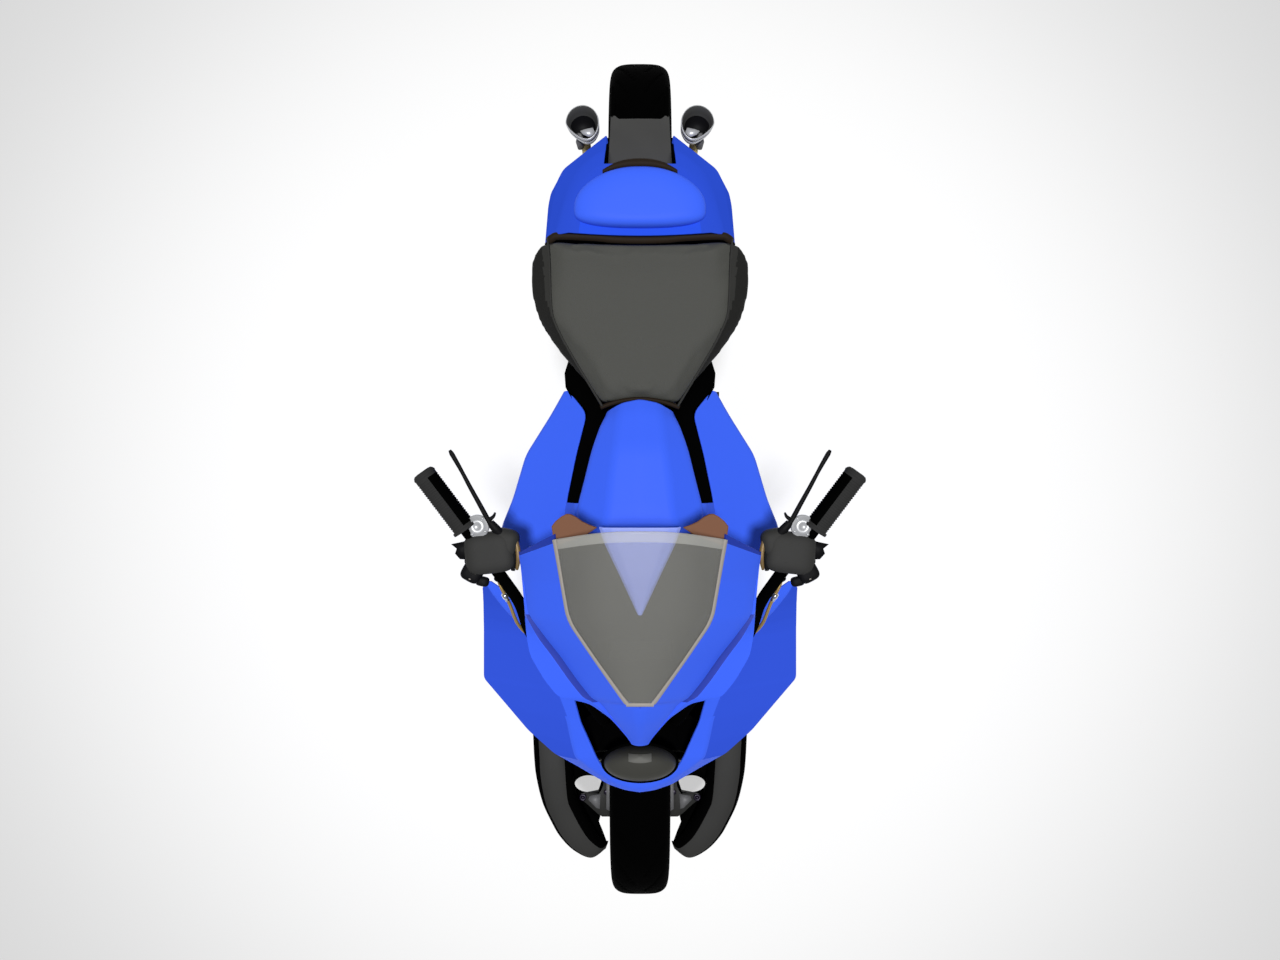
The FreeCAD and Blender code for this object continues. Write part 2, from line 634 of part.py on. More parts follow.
def rearsets():
    hanger = slab([(150, 600), (185, 560), (412, 418), (416, 386), (394, 380), (182, 470)],
                  122, 129)
    peg = rod((125, 402, 400), (228, 402, 400), 12)
    hanger = fuse(hanger, peg)
    save("footrests", hanger, mirror(hanger))
    save("rear_shock", fuse(rod((0, 168, 620), (0, 228, 456), 26),
                            rod((0, 160, 640), (0, 236, 436), 10)))


# ---------------------------------------------------------------- exhaust
EXHAUST_ROUTE = [(100, -60, 262), (112, 60, 300), (124, 170, 348), (150, 280, 402),
                 (158, 400, 496)]
CAN_START = (158, 396, 492)
CAN_END = (130, 584, 588)
CAN_R = 36.0
STEM_ROUTE = [(126, 616, 592), (113, 668, 590), (112, 702, 594), (115, 722, 612)]
# Upturned outlet: centre of its mouth, direction of its axis, length and radius
MOUTH = V(120, 750, 665)
OUTLET_UP = V(0.08, 0.47, 0.88)
OUTLET_LENGTH = 36.0
OUTLET_R = 33.0


def exhaust():
    tube = pipe(EXHAUST_ROUTE, 22, 0.4)
    save("exhaust_pipes", tube, mirror(tube))
    can = fuse(rod(CAN_START, CAN_END, CAN_R), rod(CAN_END, STEM_ROUTE[0], CAN_R - 1, 12))
    can = can.cut(tube)
    save("mufflers", can, mirror(can))
    stem = pipe(STEM_ROUTE, 10, 0.4).cut(can)
    base = MOUTH - OUTLET_UP * OUTLET_LENGTH
    neck = rod(tuple(base - OUTLET_UP * 28), tuple(base), 12, 26)
    cup = rod(tuple(base), tuple(MOUTH), OUTLET_R)
    cup = cup.cut(rod(tuple(base + OUTLET_UP * 4), tuple(MOUTH + OUTLET_UP * 5), OUTLET_R - 4))
    outlet = fuse(stem, neck, cup)
    save("muffler_outlets", outlet, mirror(outlet))


# ---------------------------------------------------------------- stands
STAND_Y = 175.0
STAND_Z = 300.0
STAND_FOOT_Y = 140.0
SIDE_STAND = (172.0, 20.0, 225.0)
SIDE_STAND_LENGTH = 205.0


def stands():
    leg = loft([[(x - 9, y - 11, z), (x + 9, y - 11, z), (x + 9, y + 11, z), (x - 9, y + 11, z)]
                for x, y, z in ((136, STAND_Y, STAND_Z - 10), (150, STAND_FOOT_Y + 6, 12))])
    ear = rod((127, STAND_Y, STAND_Z), (145, STAND_Y, STAND_Z), 18)
    foot = box(136, 190, STAND_FOOT_Y - 25, STAND_FOOT_Y + 25, 0, 12)
    bar = rod((-142, STAND_Y - 17, 120), (142, STAND_Y - 17, 120), 8)
    one = fuse(leg, ear, foot)
    stand = fuse(one, mirror(one), bar)
    save("centre_stand", stand.cut(rod((-200, STAND_Y, STAND_Z), (200, STAND_Y, STAND_Z), 8.1)))
    save("stand_pin", rod((-150, STAND_Y, STAND_Z), (150, STAND_Y, STAND_Z), 8))
    x, y, z = SIDE_STAND
    arm = rod((x, y, z), (x, y + SIDE_STAND_LENGTH - 12, z), 8)
    pad = box(x - 8, x + 30, y + SIDE_STAND_LENGTH - 12, y + SIDE_STAND_LENGTH, z - 20, z + 20)
    eye = rod((x - 8, y, z), (x + 8, y, z), 14)
    bore = rod((x - 30, y, z), (x + 30, y, z), 6.1)
    save("side_stand", fuse(arm, pad, eye).cut(bore))
    pin = rod((60, y, z), (x + 12, y, z), 6)
    save("side_stand_pin", fuse(pin, slab([(0, 213), (40, 213), (40, 300), (0, 300)], 48, 70)))


os.makedirs("parts", exist_ok=True)
for make in (wheels, fork, yokes, bars, controls, brakes, guards, frame_parts, engine,
             swingarm, tank_and_seat, tail, screen, cowl, fairings, headlamp, chain,
             rearsets, exhaust, stands):
    make()
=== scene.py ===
"""Looks of the sport bike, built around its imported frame: materials, body panels, seat,
tyres, controls and small parts, then camera, floor and light. +Z up, nose towards -Y; shapes
are written in millimetres, and piece() turns them into metres."""

import json
import math

import bmesh
import bpy
import numpy as np
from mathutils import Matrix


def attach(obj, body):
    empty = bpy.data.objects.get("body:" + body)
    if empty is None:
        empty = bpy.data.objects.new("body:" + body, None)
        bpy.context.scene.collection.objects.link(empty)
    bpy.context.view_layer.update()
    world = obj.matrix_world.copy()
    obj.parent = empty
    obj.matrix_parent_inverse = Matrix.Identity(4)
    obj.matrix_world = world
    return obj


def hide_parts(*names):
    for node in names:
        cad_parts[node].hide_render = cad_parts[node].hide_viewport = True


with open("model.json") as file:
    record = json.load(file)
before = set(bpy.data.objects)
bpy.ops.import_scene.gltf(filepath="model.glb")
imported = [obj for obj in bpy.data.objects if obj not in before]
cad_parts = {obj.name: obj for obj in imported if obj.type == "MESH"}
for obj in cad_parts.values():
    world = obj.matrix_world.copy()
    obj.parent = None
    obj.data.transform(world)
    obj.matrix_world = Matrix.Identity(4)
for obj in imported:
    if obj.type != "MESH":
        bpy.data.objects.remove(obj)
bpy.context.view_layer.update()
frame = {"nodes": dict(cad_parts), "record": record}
nodes = frame["nodes"]

MM = 0.001
CHASSIS, STEERING = "chassis", "steering"
FRONT_WHEEL, REAR_WHEEL = "front_wheel", "rear_wheel"
SIDES = ((1, "l"), (-1, "r"))
NODE_EDGE = 1.2  # rounding of the CAD nodes' sharp edges, mm


# ---------------------------------------------------------------- node groups
FLOAT, COLOUR = "NodeSocketFloat", "NodeSocketColor"


def shader_group(name, inputs, outputs):
    """Empty shader group with float or colour sockets, and its two end nodes."""
    tree = bpy.data.node_groups.new(name, "ShaderNodeTree")
    for label, kind, value in inputs:
        socket = tree.interface.new_socket(label, in_out="INPUT", socket_type=kind)
        socket.default_value = value
    for label, kind in outputs:
        tree.interface.new_socket(label, in_out="OUTPUT", socket_type=kind)
    return tree, tree.nodes.new("NodeGroupInput"), tree.nodes.new("NodeGroupOutput")


def wire_up(tree, *pairs):
    """Links each pair's source socket to its target socket."""
    for source, target in pairs:
        tree.links.new(source, target)


def maths(tree, operation, a, b):
    """Math node whose inputs are sockets or plain numbers."""
    node = tree.nodes.new("ShaderNodeMath")
    node.operation = operation
    for socket, value in zip(node.inputs, (a, b)):
        if isinstance(value, (int, float)):
            socket.default_value = value
        else:
            tree.links.new(value, socket)
    return node.outputs[0]


def noise(tree, vector, scale, detail, roughness=0.5):
    """Noise texture over a vector; scale is a socket or a plain number."""
    node = tree.nodes.new("ShaderNodeTexNoise")
    node.inputs["Detail"].default_value = detail
    node.inputs["Roughness"].default_value = roughness
    tree.links.new(vector, node.inputs["Vector"])
    if isinstance(scale, (int, float)):
        node.inputs["Scale"].default_value = scale
    else:
        tree.links.new(scale, node.inputs["Scale"])
    return node.outputs["Fac"]


def make_smudge():
    """Cloudy change of roughness and tint, as hands and polish leave on a surface."""
    tree, start, end = shader_group(
        "smudge",
        [("Colour", COLOUR, (0.5, 0.5, 0.5, 1)), ("Roughness", FLOAT, 0.4),
         ("Spread", FLOAT, 0.1), ("Tint", FLOAT, 0.08),
         ("Scale", FLOAT, 9.0)],
        [("Colour", COLOUR), ("Roughness", FLOAT)])
    where = tree.nodes.new("ShaderNodeTexCoord").outputs["Object"]
    cloud = noise(tree, where, start.outputs["Scale"], 5.0, 0.6)
    swing = maths(tree, "SUBTRACT", cloud, 0.5)
    rough = maths(tree, "ADD", start.outputs["Roughness"],
                  maths(tree, "MULTIPLY", swing, start.outputs["Spread"]))
    light = maths(tree, "ADD", 1.0, maths(tree, "MULTIPLY", swing, start.outputs["Tint"]))
    shade = tree.nodes.new("ShaderNodeHueSaturation")
    wire_up(tree, (light, shade.inputs["Value"]), (start.outputs["Colour"], shade.inputs["Color"]),
            (shade.outputs[0], end.inputs["Colour"]), (rough, end.inputs["Roughness"]))
    return tree


def make_grain():
    """Height of a fine moulded or cast grain: small cells broken up by noise."""
    tree, start, end = shader_group(
        "grain", [("Scale", FLOAT, 900.0), ("Cells", FLOAT, 0.5)],
        [("Height", FLOAT)])
    where = tree.nodes.new("ShaderNodeTexCoord").outputs["Object"]
    cells = tree.nodes.new("ShaderNodeTexVoronoi")
    wire_up(tree, (where, cells.inputs["Vector"]), (start.outputs["Scale"], cells.inputs["Scale"]))
    fine = noise(tree, where, start.outputs["Scale"], 2.0)
    height = maths(tree, "ADD", maths(tree, "MULTIPLY", cells.outputs["Distance"],
                                      start.outputs["Cells"]), fine)
    wire_up(tree, (height, end.inputs["Height"]))
    return tree


def make_brushing():
    """Height of long fine scratches that run along one axis of the object."""
    tree, start, end = shader_group(
        "brushing", [("Along X", FLOAT, 40.0), ("Along Y", FLOAT, 900.0),
                     ("Along Z", FLOAT, 900.0)], [("Height", FLOAT)])
    where = tree.nodes.new("ShaderNodeTexCoord").outputs["Object"]
    stretch = tree.nodes.new("ShaderNodeCombineXYZ")
    scaled = tree.nodes.new("ShaderNodeVectorMath")
    scaled.operation = "MULTIPLY"
    wire_up(tree, *((start.outputs[i], stretch.inputs[i]) for i in range(3)),
            (where, scaled.inputs[0]), (stretch.outputs[0], scaled.inputs[1]))
    wire_up(tree, (noise(tree, scaled.outputs[0], 1.0, 2.0), end.inputs["Height"]))
    return tree


SMUDGE, GRAIN, BRUSHING = make_smudge(), make_grain(), make_brushing()


# ---------------------------------------------------------------- materials
def place_group(tree, group, **values):
    """Group node with its inputs set; an underscore in a name stands for a space."""
    node = tree.nodes.new("ShaderNodeGroup")
    node.node_tree = group
    for label, value in values.items():
        node.inputs[label.replace("_", " ")].default_value = value
    return node


def finish_material(name, colour, roughness, spread, tint, scale, metallic=0.0, height=None,
                    relief=0.0, **plain):
    """Principled material: smudged colour and roughness, and a bump from a height group.

    height is (group, values) and relief is the bump's depth in metres; plain holds values
    set on the shader's own sockets.
    """
    made = bpy.data.materials.new(name)
    made.use_nodes = True
    tree = made.node_tree
    shader = tree.nodes["Principled BSDF"]
    shader.inputs["Metallic"].default_value = metallic
    for label, value in plain.items():
        shader.inputs[label.replace("_", " ")].default_value = value
    smudge = place_group(tree, SMUDGE, Colour=(*colour, 1), Roughness=roughness, Spread=spread,
                         Tint=tint, Scale=scale)
    wire_up(tree, (smudge.outputs["Colour"], shader.inputs["Base Color"]),
            (smudge.outputs["Roughness"], shader.inputs["Roughness"]))
    if height:
        relief_node = place_group(tree, height[0], **height[1])
        bump = tree.nodes.new("ShaderNodeBump")
        bump.inputs["Distance"].default_value = relief
        bump.inputs["Strength"].default_value = 0.6
        wire_up(tree, (relief_node.outputs["Height"], bump.inputs["Height"]),
                (bump.outputs["Normal"], shader.inputs["Normal"]))
    return made


def grained(name, colour, finish, grain, relief, specular=0.5, metallic=0.0, cells=0.5, **plain):
    """Material with a fine moulded grain. finish holds its roughness, the roughness's
    spread, the tint's swing and the clouds' scale; relief is in millimetres."""
    return finish_material(name, colour, *finish, metallic, relief=relief * MM,
                           height=(GRAIN, {"Scale": grain, "Cells": cells}),
                           Specular_IOR_Level=specular, **plain)


def brushed(name, colour, finish, metallic, scratches, relief):
    """Metal with fine scratches, whose three scales say which axis they run along."""
    scales = dict(zip(("Along_X", "Along_Y", "Along_Z"), scratches))
    return finish_material(name, colour, *finish, metallic, height=(BRUSHING, scales),
                           relief=relief * MM)


def painted_light_paint(name, colour, glow):
    """Matt paint for painted shade and painted light on faces, part of its tone a painted glow so
    that it stays even.
    """
    return grained(name, colour, (0.7, 0.06, 0.03, 5), 260, 0.03, 0.0, cells=0.1,
                   Emission_Color=(*glow, 1), Emission_Strength=1.0)


def smoked(name, colour, alpha):
    """Smoked acrylic: a grey film that lets part of what is behind it show."""
    return finish_material(name, colour, 0.3, 0.06, 0.05, 6.0, Specular_IOR_Level=0.1,
                           Alpha=alpha)


# Columns of a grained material: name, colour, finish, grain, relief, specular, metallic
BLUE = grained("blue paint", (0.048, 0.135, 0.93), (0.5, 0.08, 0.03, 5), 260, 0.03, 0.07, cells=0.1)
# Painted shade: darker blue for the cowl's seam and for the strip under the screen's rear edge
SEAM_SHADE_BLUE = grained("blue paint with painted seam shade", (0.014, 0.040, 0.38), (0.45, 0.08, 0.03, 5), 260, 0.03, 0.2,
                    cells=0.1)
# Painted light: the hood's own blue, made paler and partly a painted glow, to offset the smoked
# screen's shade
PALE_GLOW_BLUE = grained("pale blue paint with painted glow", (0.27, 0.36, 0.97), (0.4, 0.08, 0.03, 5), 260, 0.04,
                    cells=0.1, Emission_Color=(0.33, 0.41, 0.97, 1), Emission_Strength=0.35)
# Painted shade and light: darker blues for leaning faces and the tail's sides, a lighter one for
# the tail's lid, each partly a painted glow
SHADE_BLUE = painted_light_paint("blue paint with painted shade on leaning faces", (0.022, 0.058, 0.44), (0.014, 0.038, 0.29))
SIDE_SHADE_BLUE = painted_light_paint("blue paint with painted shade on the tail sides", (0.012, 0.032, 0.26), (0.015, 0.049, 0.40))
LID_LIT_BLUE = painted_light_paint("blue paint with painted light on the tail lid", (0.018, 0.070, 0.64), (0.006, 0.018, 0.15))
BLACK_METAL = grained("black satin metal", (0.006, 0.006, 0.007), (0.55, 0.12, 0.2, 14), 700, 0.08,
                      0.07)
RIM_PAINT = grained("rim paint", (0.012, 0.012, 0.014), (0.32, 0.1, 0.1, 12), 500, 0.04, 0.2,
                    cells=0.2)
SEAT_COVER = grained("seat cover", (0.060, 0.061, 0.054), (0.7, 0.12, 0.14, 16), 620, 0.35, 0.35,
                     cells=1.6)
SEAT_BAND = grained("seat band", (0.033, 0.033, 0.031), (0.65, 0.12, 0.14, 16), 900, 0.12, 0.1)
SEAT_SIDE = grained("seat side cover", (0.013, 0.013, 0.012), (0.65, 0.12, 0.14, 16), 620, 0.35,
                    0.15, cells=1.6)
PIPING = grained("seat piping", (0.020, 0.013, 0.008), (0.65, 0.1, 0.1, 30), 900, 0.1, 0.1)
TYRE = grained("tyre rubber", (0.0006, 0.0006, 0.0006), (0.86, 0.12, 0.4, 30), 800, 0.12, 0.01)
STEEL = brushed("brushed steel", (0.55, 0.55, 0.56), (0.32, 0.14, 0.1, 20), 1.0, (60, 900, 900),
                0.06)
GOLD = brushed("gold anodised alloy", (0.42, 0.29, 0.10), (0.42, 0.1, 0.06, 20), 0.55,
               (900, 900, 60), 0.04)
CHROME = finish_material("chrome", (0.78, 0.78, 0.80), 0.16, 0.08, 0.04, 20.0, 0.9)
CAST = grained("cast alloy", (0.20, 0.20, 0.21), (0.5, 0.14, 0.12, 18), 500, 0.2, 0.5, 1.0)
STEM_GOLD = grained("pale gold alloy", (0.46, 0.36, 0.13), (0.5, 0.1, 0.06, 20), 180, 0.03, 0.5,
                    0.1, 0.2)
OLD_GOLD = grained("dull gold alloy", (0.20, 0.13, 0.05), (0.5, 0.1, 0.1, 20), 700, 0.04, 0.5, 0.3)
SILVER = grained("satin silver", (0.52, 0.53, 0.55), (0.38, 0.1, 0.06, 20), 700, 0.04, 0.5, 0.35)
GRAPHITE = grained("graphite metal", (0.055, 0.055, 0.053), (0.55, 0.1, 0.15, 20), 600, 0.06, 0.2,
                   0.1)
BRACKET_GREY = grained("bracket grey", (0.13, 0.13, 0.135), (0.5, 0.1, 0.1, 20), 600, 0.06, 0.2,
                       0.1)
BOLT_VIOLET = grained("violet plated bolt", (0.012, 0.008, 0.020), (0.35, 0.1, 0.1, 20), 800, 0.04,
                      0.5, 0.5)
DARK_PLASTIC = grained("dark moulded plastic", (0.031, 0.031, 0.030), (0.6, 0.12, 0.14, 14), 900,
                       0.12, 0.15)
BLACK_PLASTIC = grained("black plastic", (0.0007, 0.0007, 0.0007), (0.8, 0.12, 0.2, 14), 900, 0.1,
                        0.01)
RUBBER = grained("grip rubber", (0.030, 0.030, 0.030), (0.8, 0.12, 0.2, 25), 800, 0.15, 0.1)
COPPER = grained("copper paint", (0.195, 0.088, 0.048), (0.6, 0.1, 0.12, 12), 700, 0.05, 0.1)
CREAM = grained("screen edge trim", (0.36, 0.33, 0.30), (0.6, 0.1, 0.05, 10), 700, 0.04)
LAMP_BODY = grained("lamp glass", (0.052, 0.052, 0.046), (0.4, 0.08, 0.05, 8), 120, 0.03, 0.05,
                    cells=0.1)
# Painted highlight: the paler pane on the lamp dome
LAMP_HIGHLIGHT = grained("lamp highlight pane", (0.115, 0.115, 0.105), (0.5, 0.08, 0.05, 8), 200, 0.1, 0.15,
                    cells=1.0)
RED_LENS = grained("red lens", (0.42, 0.008, 0.010), (0.18, 0.05, 0.05, 30), 260, 0.3, cells=1.5,
                   Coat_Weight=0.6)
SMOKED = smoked("smoked acrylic", (0.38, 0.38, 0.355), 0.3)
BAND = smoked("smoked acrylic band", (0.62, 0.62, 0.58), 0.4)

SLOT_MATERIAL = {
    "blue_paint": BLUE, "black_metal": BLACK_METAL, "seat_cover": SEAT_COVER, "tyre": TYRE,
    "rim_paint": RIM_PAINT, "steel": STEEL, "cast_alloy": CAST, "gold_alloy": GOLD,
    "chrome": CHROME, "smoked_screen": SMOKED, "dark_plastic": DARK_PLASTIC,
    "rubber": RUBBER, "lamp": LAMP_BODY, "red_lens": RED_LENS, "copper": COPPER,
    "pale_blue_paint": PALE_GLOW_BLUE,
}
# Nodes that lie in deep shade under the bodywork, painted near-black as painted shade
SHADED_NODES = {"top_yoke", "bottom_yoke", "fork_uppers", "main_frame", "radiator", "cockpit_liner"}


def blunt(item, width, angle, segments=2):
    """Rounds an item's edges that are sharper than an angle."""
    bevel = item.modifiers.new("soft edges", "BEVEL")
    bevel.width, bevel.segments = width * MM, segments
    bevel.limit_method, bevel.angle_limit = "ANGLE", math.radians(angle)
    bevel.harden_normals = True


def dress_nodes():
    """Gives every CAD node its slot's material, or near-black painted shade for nodes in deep
    shade, welded corners and softened edges.
    """
    for row in frame["record"]["subparts"]:
        item = nodes[row["node"]]
        item.data.materials.clear()
        item.data.materials.append(BLACK_PLASTIC if row["node"] in SHADED_NODES
                                   else SLOT_MATERIAL[row["material_slot"]])
        item.modifiers.new("weld", "WELD").merge_threshold = 0.02 * MM
        blunt(item, NODE_EDGE, 28.0)
        item.data.shade_smooth()


dress_nodes()


# ---------------------------------------------------------------- mesh tools
def flowing(rows, count, closed=False):
    """Catmull-Rom curve through rows: a cubic whose slope at each row is half the step
    between that row's neighbours."""
    rows = np.asarray(rows, float)
    n = len(rows)
    at = np.linspace(0, n if closed else n - 1, count, endpoint=not closed)
    i = np.minimum(at.astype(int), n - (1 if closed else 2))
    t = (at - i).reshape((-1,) + (1,) * (rows.ndim - 1))
    a, b, c, d = (rows[(i + k) % n if closed else np.clip(i + k, 0, n - 1)]
                  for k in (-1, 0, 1, 2))
    return b + t / 2 * (c - a + t * (2 * a - 5 * b + 4 * c - d + t * (3 * (b - c) + d - a)))


def eased(lines, share, times):
    """Lines with cut corners: each inner point gives way to two, a share of the way to its
    neighbours, and the ends stay."""
    lines = np.asarray(lines, float)
    for _ in range(times):
        a, b = lines[:, :-1], lines[:, 1:]
        pair = np.stack([a + (b - a) * share, b - (b - a) * share], axis=2)
        pair = pair.reshape(len(lines), -1, lines.shape[2])
        lines = np.concatenate([lines[:, :1], pair, lines[:, -1:]], axis=1)
    return lines


def rounded(lines, radius):
    """Lines whose inner corners become short curves: each starts and ends the radius away
    from its corner, or nearly halfway to the next one, and bends as a parabola between."""
    lines = np.asarray(lines, float)
    corner = lines[:, 1:-1]
    arms = []
    for other in (lines[:, :-2], lines[:, 2:]):
        arm = other - corner
        size = np.maximum(np.linalg.norm(arm, axis=2, keepdims=True), 1e-9)
        arms.append(corner + arm / size * np.minimum(radius, 0.48 * size))
    t = np.linspace(0, 1, 5)[None, None, :, None]
    curve = ((1 - t) ** 2 * arms[0][:, :, None] + 2 * t * (1 - t) * corner[:, :, None]
             + t ** 2 * arms[1][:, :, None])
    curve = curve.reshape(len(lines), -1, lines.shape[2])
    return np.concatenate([lines[:, :1], curve, lines[:, -1:]], axis=1)


def ruled(lines, radius):
    """The same rounding along the stations, so that straight runs stay straight."""
    return np.swapaxes(rounded(np.swapaxes(np.asarray(lines, float), 0, 1), radius), 0, 1)


def quads(rows, cols, wrap_rows=False, wrap_cols=False):
    """Corner numbers of the quads of a grid, row by row."""
    i, j = np.meshgrid(np.arange(rows if wrap_rows else rows - 1),
                       np.arange(cols if wrap_cols else cols - 1), indexing="ij")
    k, m = (i + 1) % rows, (j + 1) % cols
    return np.stack([i * cols + j, i * cols + m, k * cols + m, k * cols + j], -1).reshape(-1, 4)


def turned_out(points, faces, inside):
    """Faces in the order that makes most of them look away from the inside point, or from
    each face's own inside point."""
    corners = points[faces]
    normal = np.cross(corners[:, 2] - corners[:, 0], corners[:, 3] - corners[:, 1])
    away = corners.mean(axis=1) - np.asarray(inside, float)
    return faces if (normal * away).sum() > 0 else faces[:, ::-1]


def sheet(grid, inside, wrap_cols=False):
    """Points and faces of a (rows, columns, 3) grid that look away from the inside point."""
    points = grid.reshape(-1, 3)
    return points, turned_out(points, quads(*grid.shape[:2], False, wrap_cols), inside)


def bowed(x, bow, rows):
    """Grid of lines over x: each row is y, its share of the bow added to y, and z."""
    return np.stack([np.stack(np.broadcast_arrays(x, y + share * bow, float(z)), -1)
                     for y, share, z in rows])


def squared(wave, power):
    """A sine or cosine raised to a power with its sign kept: a low power squares an oval."""
    return np.sign(wave) * np.abs(wave) ** power


def drawn_in(ring, middle, share):
    """A ring shrunk towards its middle, which closes an end."""
    return middle + (ring - middle) * share


def with_mirror(points, faces):
    """The same piece on both sides of the centre plane, as one mesh."""
    other = points * np.array([-1.0, 1.0, 1.0])
    return np.concatenate([points, other]), np.concatenate([faces, faces[:, ::-1] + len(points)])


def joined(parts):
    """Several (points, faces) pairs as one."""
    points, faces, base = [], [], 0
    for some, corners in parts:
        points.append(some)
        faces.append(corners + base)
        base += len(some)
    return np.concatenate(points), np.concatenate(faces)


def placed(name, data):
    """A new object in the scene."""
    item = bpy.data.objects.new(name, data)
    bpy.context.scene.collection.objects.link(item)
    return item


def piece(name, points, faces, materials, body, slot, replaces=(), merge=0.0, which=None):
    """Mesh object from millimetre points and quads, riding on a body.

    which gives each face's material number, and merge welds points nearer than that.
    """
    data = bpy.data.meshes.new(name)
    faces = [list(dict.fromkeys(face)) for face in np.asarray(faces).tolist()]
    data.from_pydata((np.asarray(points, float) * MM).tolist(), [], faces)
    for material in materials if isinstance(materials, (list, tuple)) else [materials]:
        data.materials.append(material)
    if which is not None:
        data.polygons.foreach_set("material_index", np.asarray(which, dtype=np.int32))
    item = placed(name, data)
    if merge:
        mesh = bmesh.new()
        mesh.from_mesh(data)
        bmesh.ops.remove_doubles(mesh, verts=mesh.verts, dist=merge * MM)
        bmesh.ops.dissolve_degenerate(mesh, edges=mesh.edges, dist=0.001 * MM)
        mesh.to_mesh(data)
        mesh.free()
    data.shade_smooth()
    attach(item, body)
    for node in [replaces] if isinstance(replaces, str) else replaces:
        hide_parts(node)
    return item


def pair(name, parts, materials, body, slot, replaces=(), merge=0.0, which=None):
    """Joins parts of the +X side and their mirror image into one piece."""
    points, faces = with_mirror(*joined(parts))
    which = None if which is None else np.tile(which, 2)
    return piece(name, points, faces, materials, body, slot, replaces, merge, which)


def walled(item, thickness):
    """Gives a sheet its wall, on its inner side."""
    wall = item.modifiers.new("wall", "SOLIDIFY")
    wall.thickness, wall.offset = thickness * MM, -1.0
    return item


def crisp(item, width=0.6, angle=35.0, segments=2):
    """Small rounding on an item's sharp edges, and normals that follow the larger faces."""
    blunt(item, width, angle, segments)
    item.modifiers.new("facets", "WEIGHTED_NORMAL").keep_sharp = True
    return item


def frames(path):
    """Unit side and upward arrays along a path of points."""
    tangent = np.gradient(path, axis=0)
    tangent /= np.linalg.norm(tangent, axis=1, keepdims=True)
    up = np.array([0.0, 0.0, 1.0]) if abs(tangent[:, 2]).max() < 0.95 else np.array([1.0, 0, 0])
    side = np.cross(tangent, up)
    side /= np.linalg.norm(side, axis=1, keepdims=True)
    return side, np.cross(side, tangent)


def tube(path, radius, sides, flat=1.0, count=None):
    """Round skin carried along a path: each ring is centre + radius (cos a side + sin a up),
    with closed ends. radius may change along the path, and flat scales its height."""
    path = np.asarray(path, float)
    if count:
        path = flowing(path, count)
    radius = np.atleast_1d(np.asarray(radius, float))
    radius = np.interp(np.linspace(0, 1, len(path)), np.linspace(0, 1, len(radius)), radius)
    side, up = frames(path)
    a = np.linspace(0, 2 * np.pi, sides, endpoint=False)
    ring = np.cos(a)[None, :, None] * side[:, None] + flat * np.sin(a)[None, :, None] * up[:, None]
    points = path[:, None] + radius[:, None, None] * ring
    points = np.concatenate([np.repeat(path[:1, None], sides, 1), points,
                             np.repeat(path[-1:, None], sides, 1)])
    faces = quads(len(points), sides, wrap_cols=True)
    points = points.reshape(-1, 3)
    return points, turned_out(points, faces, path.mean(axis=0)) if len(path) == 2 else faces


def lathe(profile, centre, axis, sides):
    """Skin turned about an axis: each (along, radius) point becomes a circle."""
    profile = np.asarray(profile, float)
    axis = np.asarray(axis, float) / np.linalg.norm(axis)
    helper = np.array([1.0, 0, 0]) if abs(axis[0]) < 0.9 else np.array([0, 1.0, 0])
    side = np.cross(axis, helper)
    side /= np.linalg.norm(side)
    up = np.cross(axis, side)
    a = np.linspace(0, 2 * np.pi, sides, endpoint=False)
    ring = np.cos(a)[:, None] * side + np.sin(a)[:, None] * up
    points = (np.asarray(centre, float) + profile[:, 0, None, None] * axis
              + profile[:, 1, None, None] * ring[None])
    return points.reshape(-1, 3), quads(len(profile), sides, False, True)[:, ::-1]


def cushion_block(centre, half, turn, power, rows, cols):
    """Rounded block: a ball whose sines and cosines are raised to a low power, turned about
    the upright axis."""
    v = np.linspace(-np.pi / 2, np.pi / 2, rows)[:, None]
    u = np.linspace(0, 2 * np.pi, cols, endpoint=False)[None, :]
    x = squared(np.cos(v), power) * squared(np.cos(u), power) * half[0]
    y = squared(np.cos(v), power) * squared(np.sin(u), power) * half[1]
    z = squared(np.sin(v), power) * np.ones_like(u) * half[2]
    c, s = math.cos(turn), math.sin(turn)
    points = np.stack([x * c - y * s + centre[0], x * s + y * c + centre[1], z + centre[2]], -1)
    return points.reshape(-1, 3), quads(rows, cols, False, True)


def plate(outline, low, high):
    """Flat plate: an (x, y) outline between two heights, its top and bottom closed by a fan
    of quads from the middle."""
    outline = np.asarray(outline, float)
    n = len(outline)
    rings = [np.column_stack([outline, np.full(n, z)]) for z in (low, high)]
    middle = outline.mean(axis=0)
    ends = [np.tile([*middle, z], (n, 1)) for z in (low, high)]
    points = np.concatenate([ends[0], rings[0], rings[1], ends[1]])
    faces = quads(4, n, False, True)
    return points, turned_out(points, faces, [*middle, (low + high) / 2])


def framed_plate(inner, outer, low, high, closed=True):
    """Flat band between two (x, y) rails, from one height to the other."""
    rails = [(inner, low), (outer, low), (outer, high), (inner, high)]
    grid = np.stack([np.column_stack([np.asarray(rail, float), np.full(len(rail), float(z))])
                     for rail, z in rails], axis=1)
    points = grid.reshape(-1, 3)
    middle = grid.mean(axis=1)[np.repeat(np.arange(len(inner) - (not closed)), 4)]
    return points, turned_out(points, quads(len(inner), 4, closed, True), middle)


# ---------------------------------------------------------------- body panels
# Each panel is a list of stations from nose to tail or back; a station is (y, then x, z
# pairs) in millimetres on the left side, and the panel runs straight between stations, with
# rounded corners.
PANEL_WALL = 3.6


def station_lines(stations):
    """(stations, points, 3) array from rows of y followed by x, z pairs."""
    out = []
    for y, *pairs in stations:
        pairs = np.asarray(pairs, float).reshape(-1, 2)
        out.append(np.column_stack([pairs[:, 0], np.full(len(pairs), float(y)), pairs[:, 1]]))
    return np.stack(out)


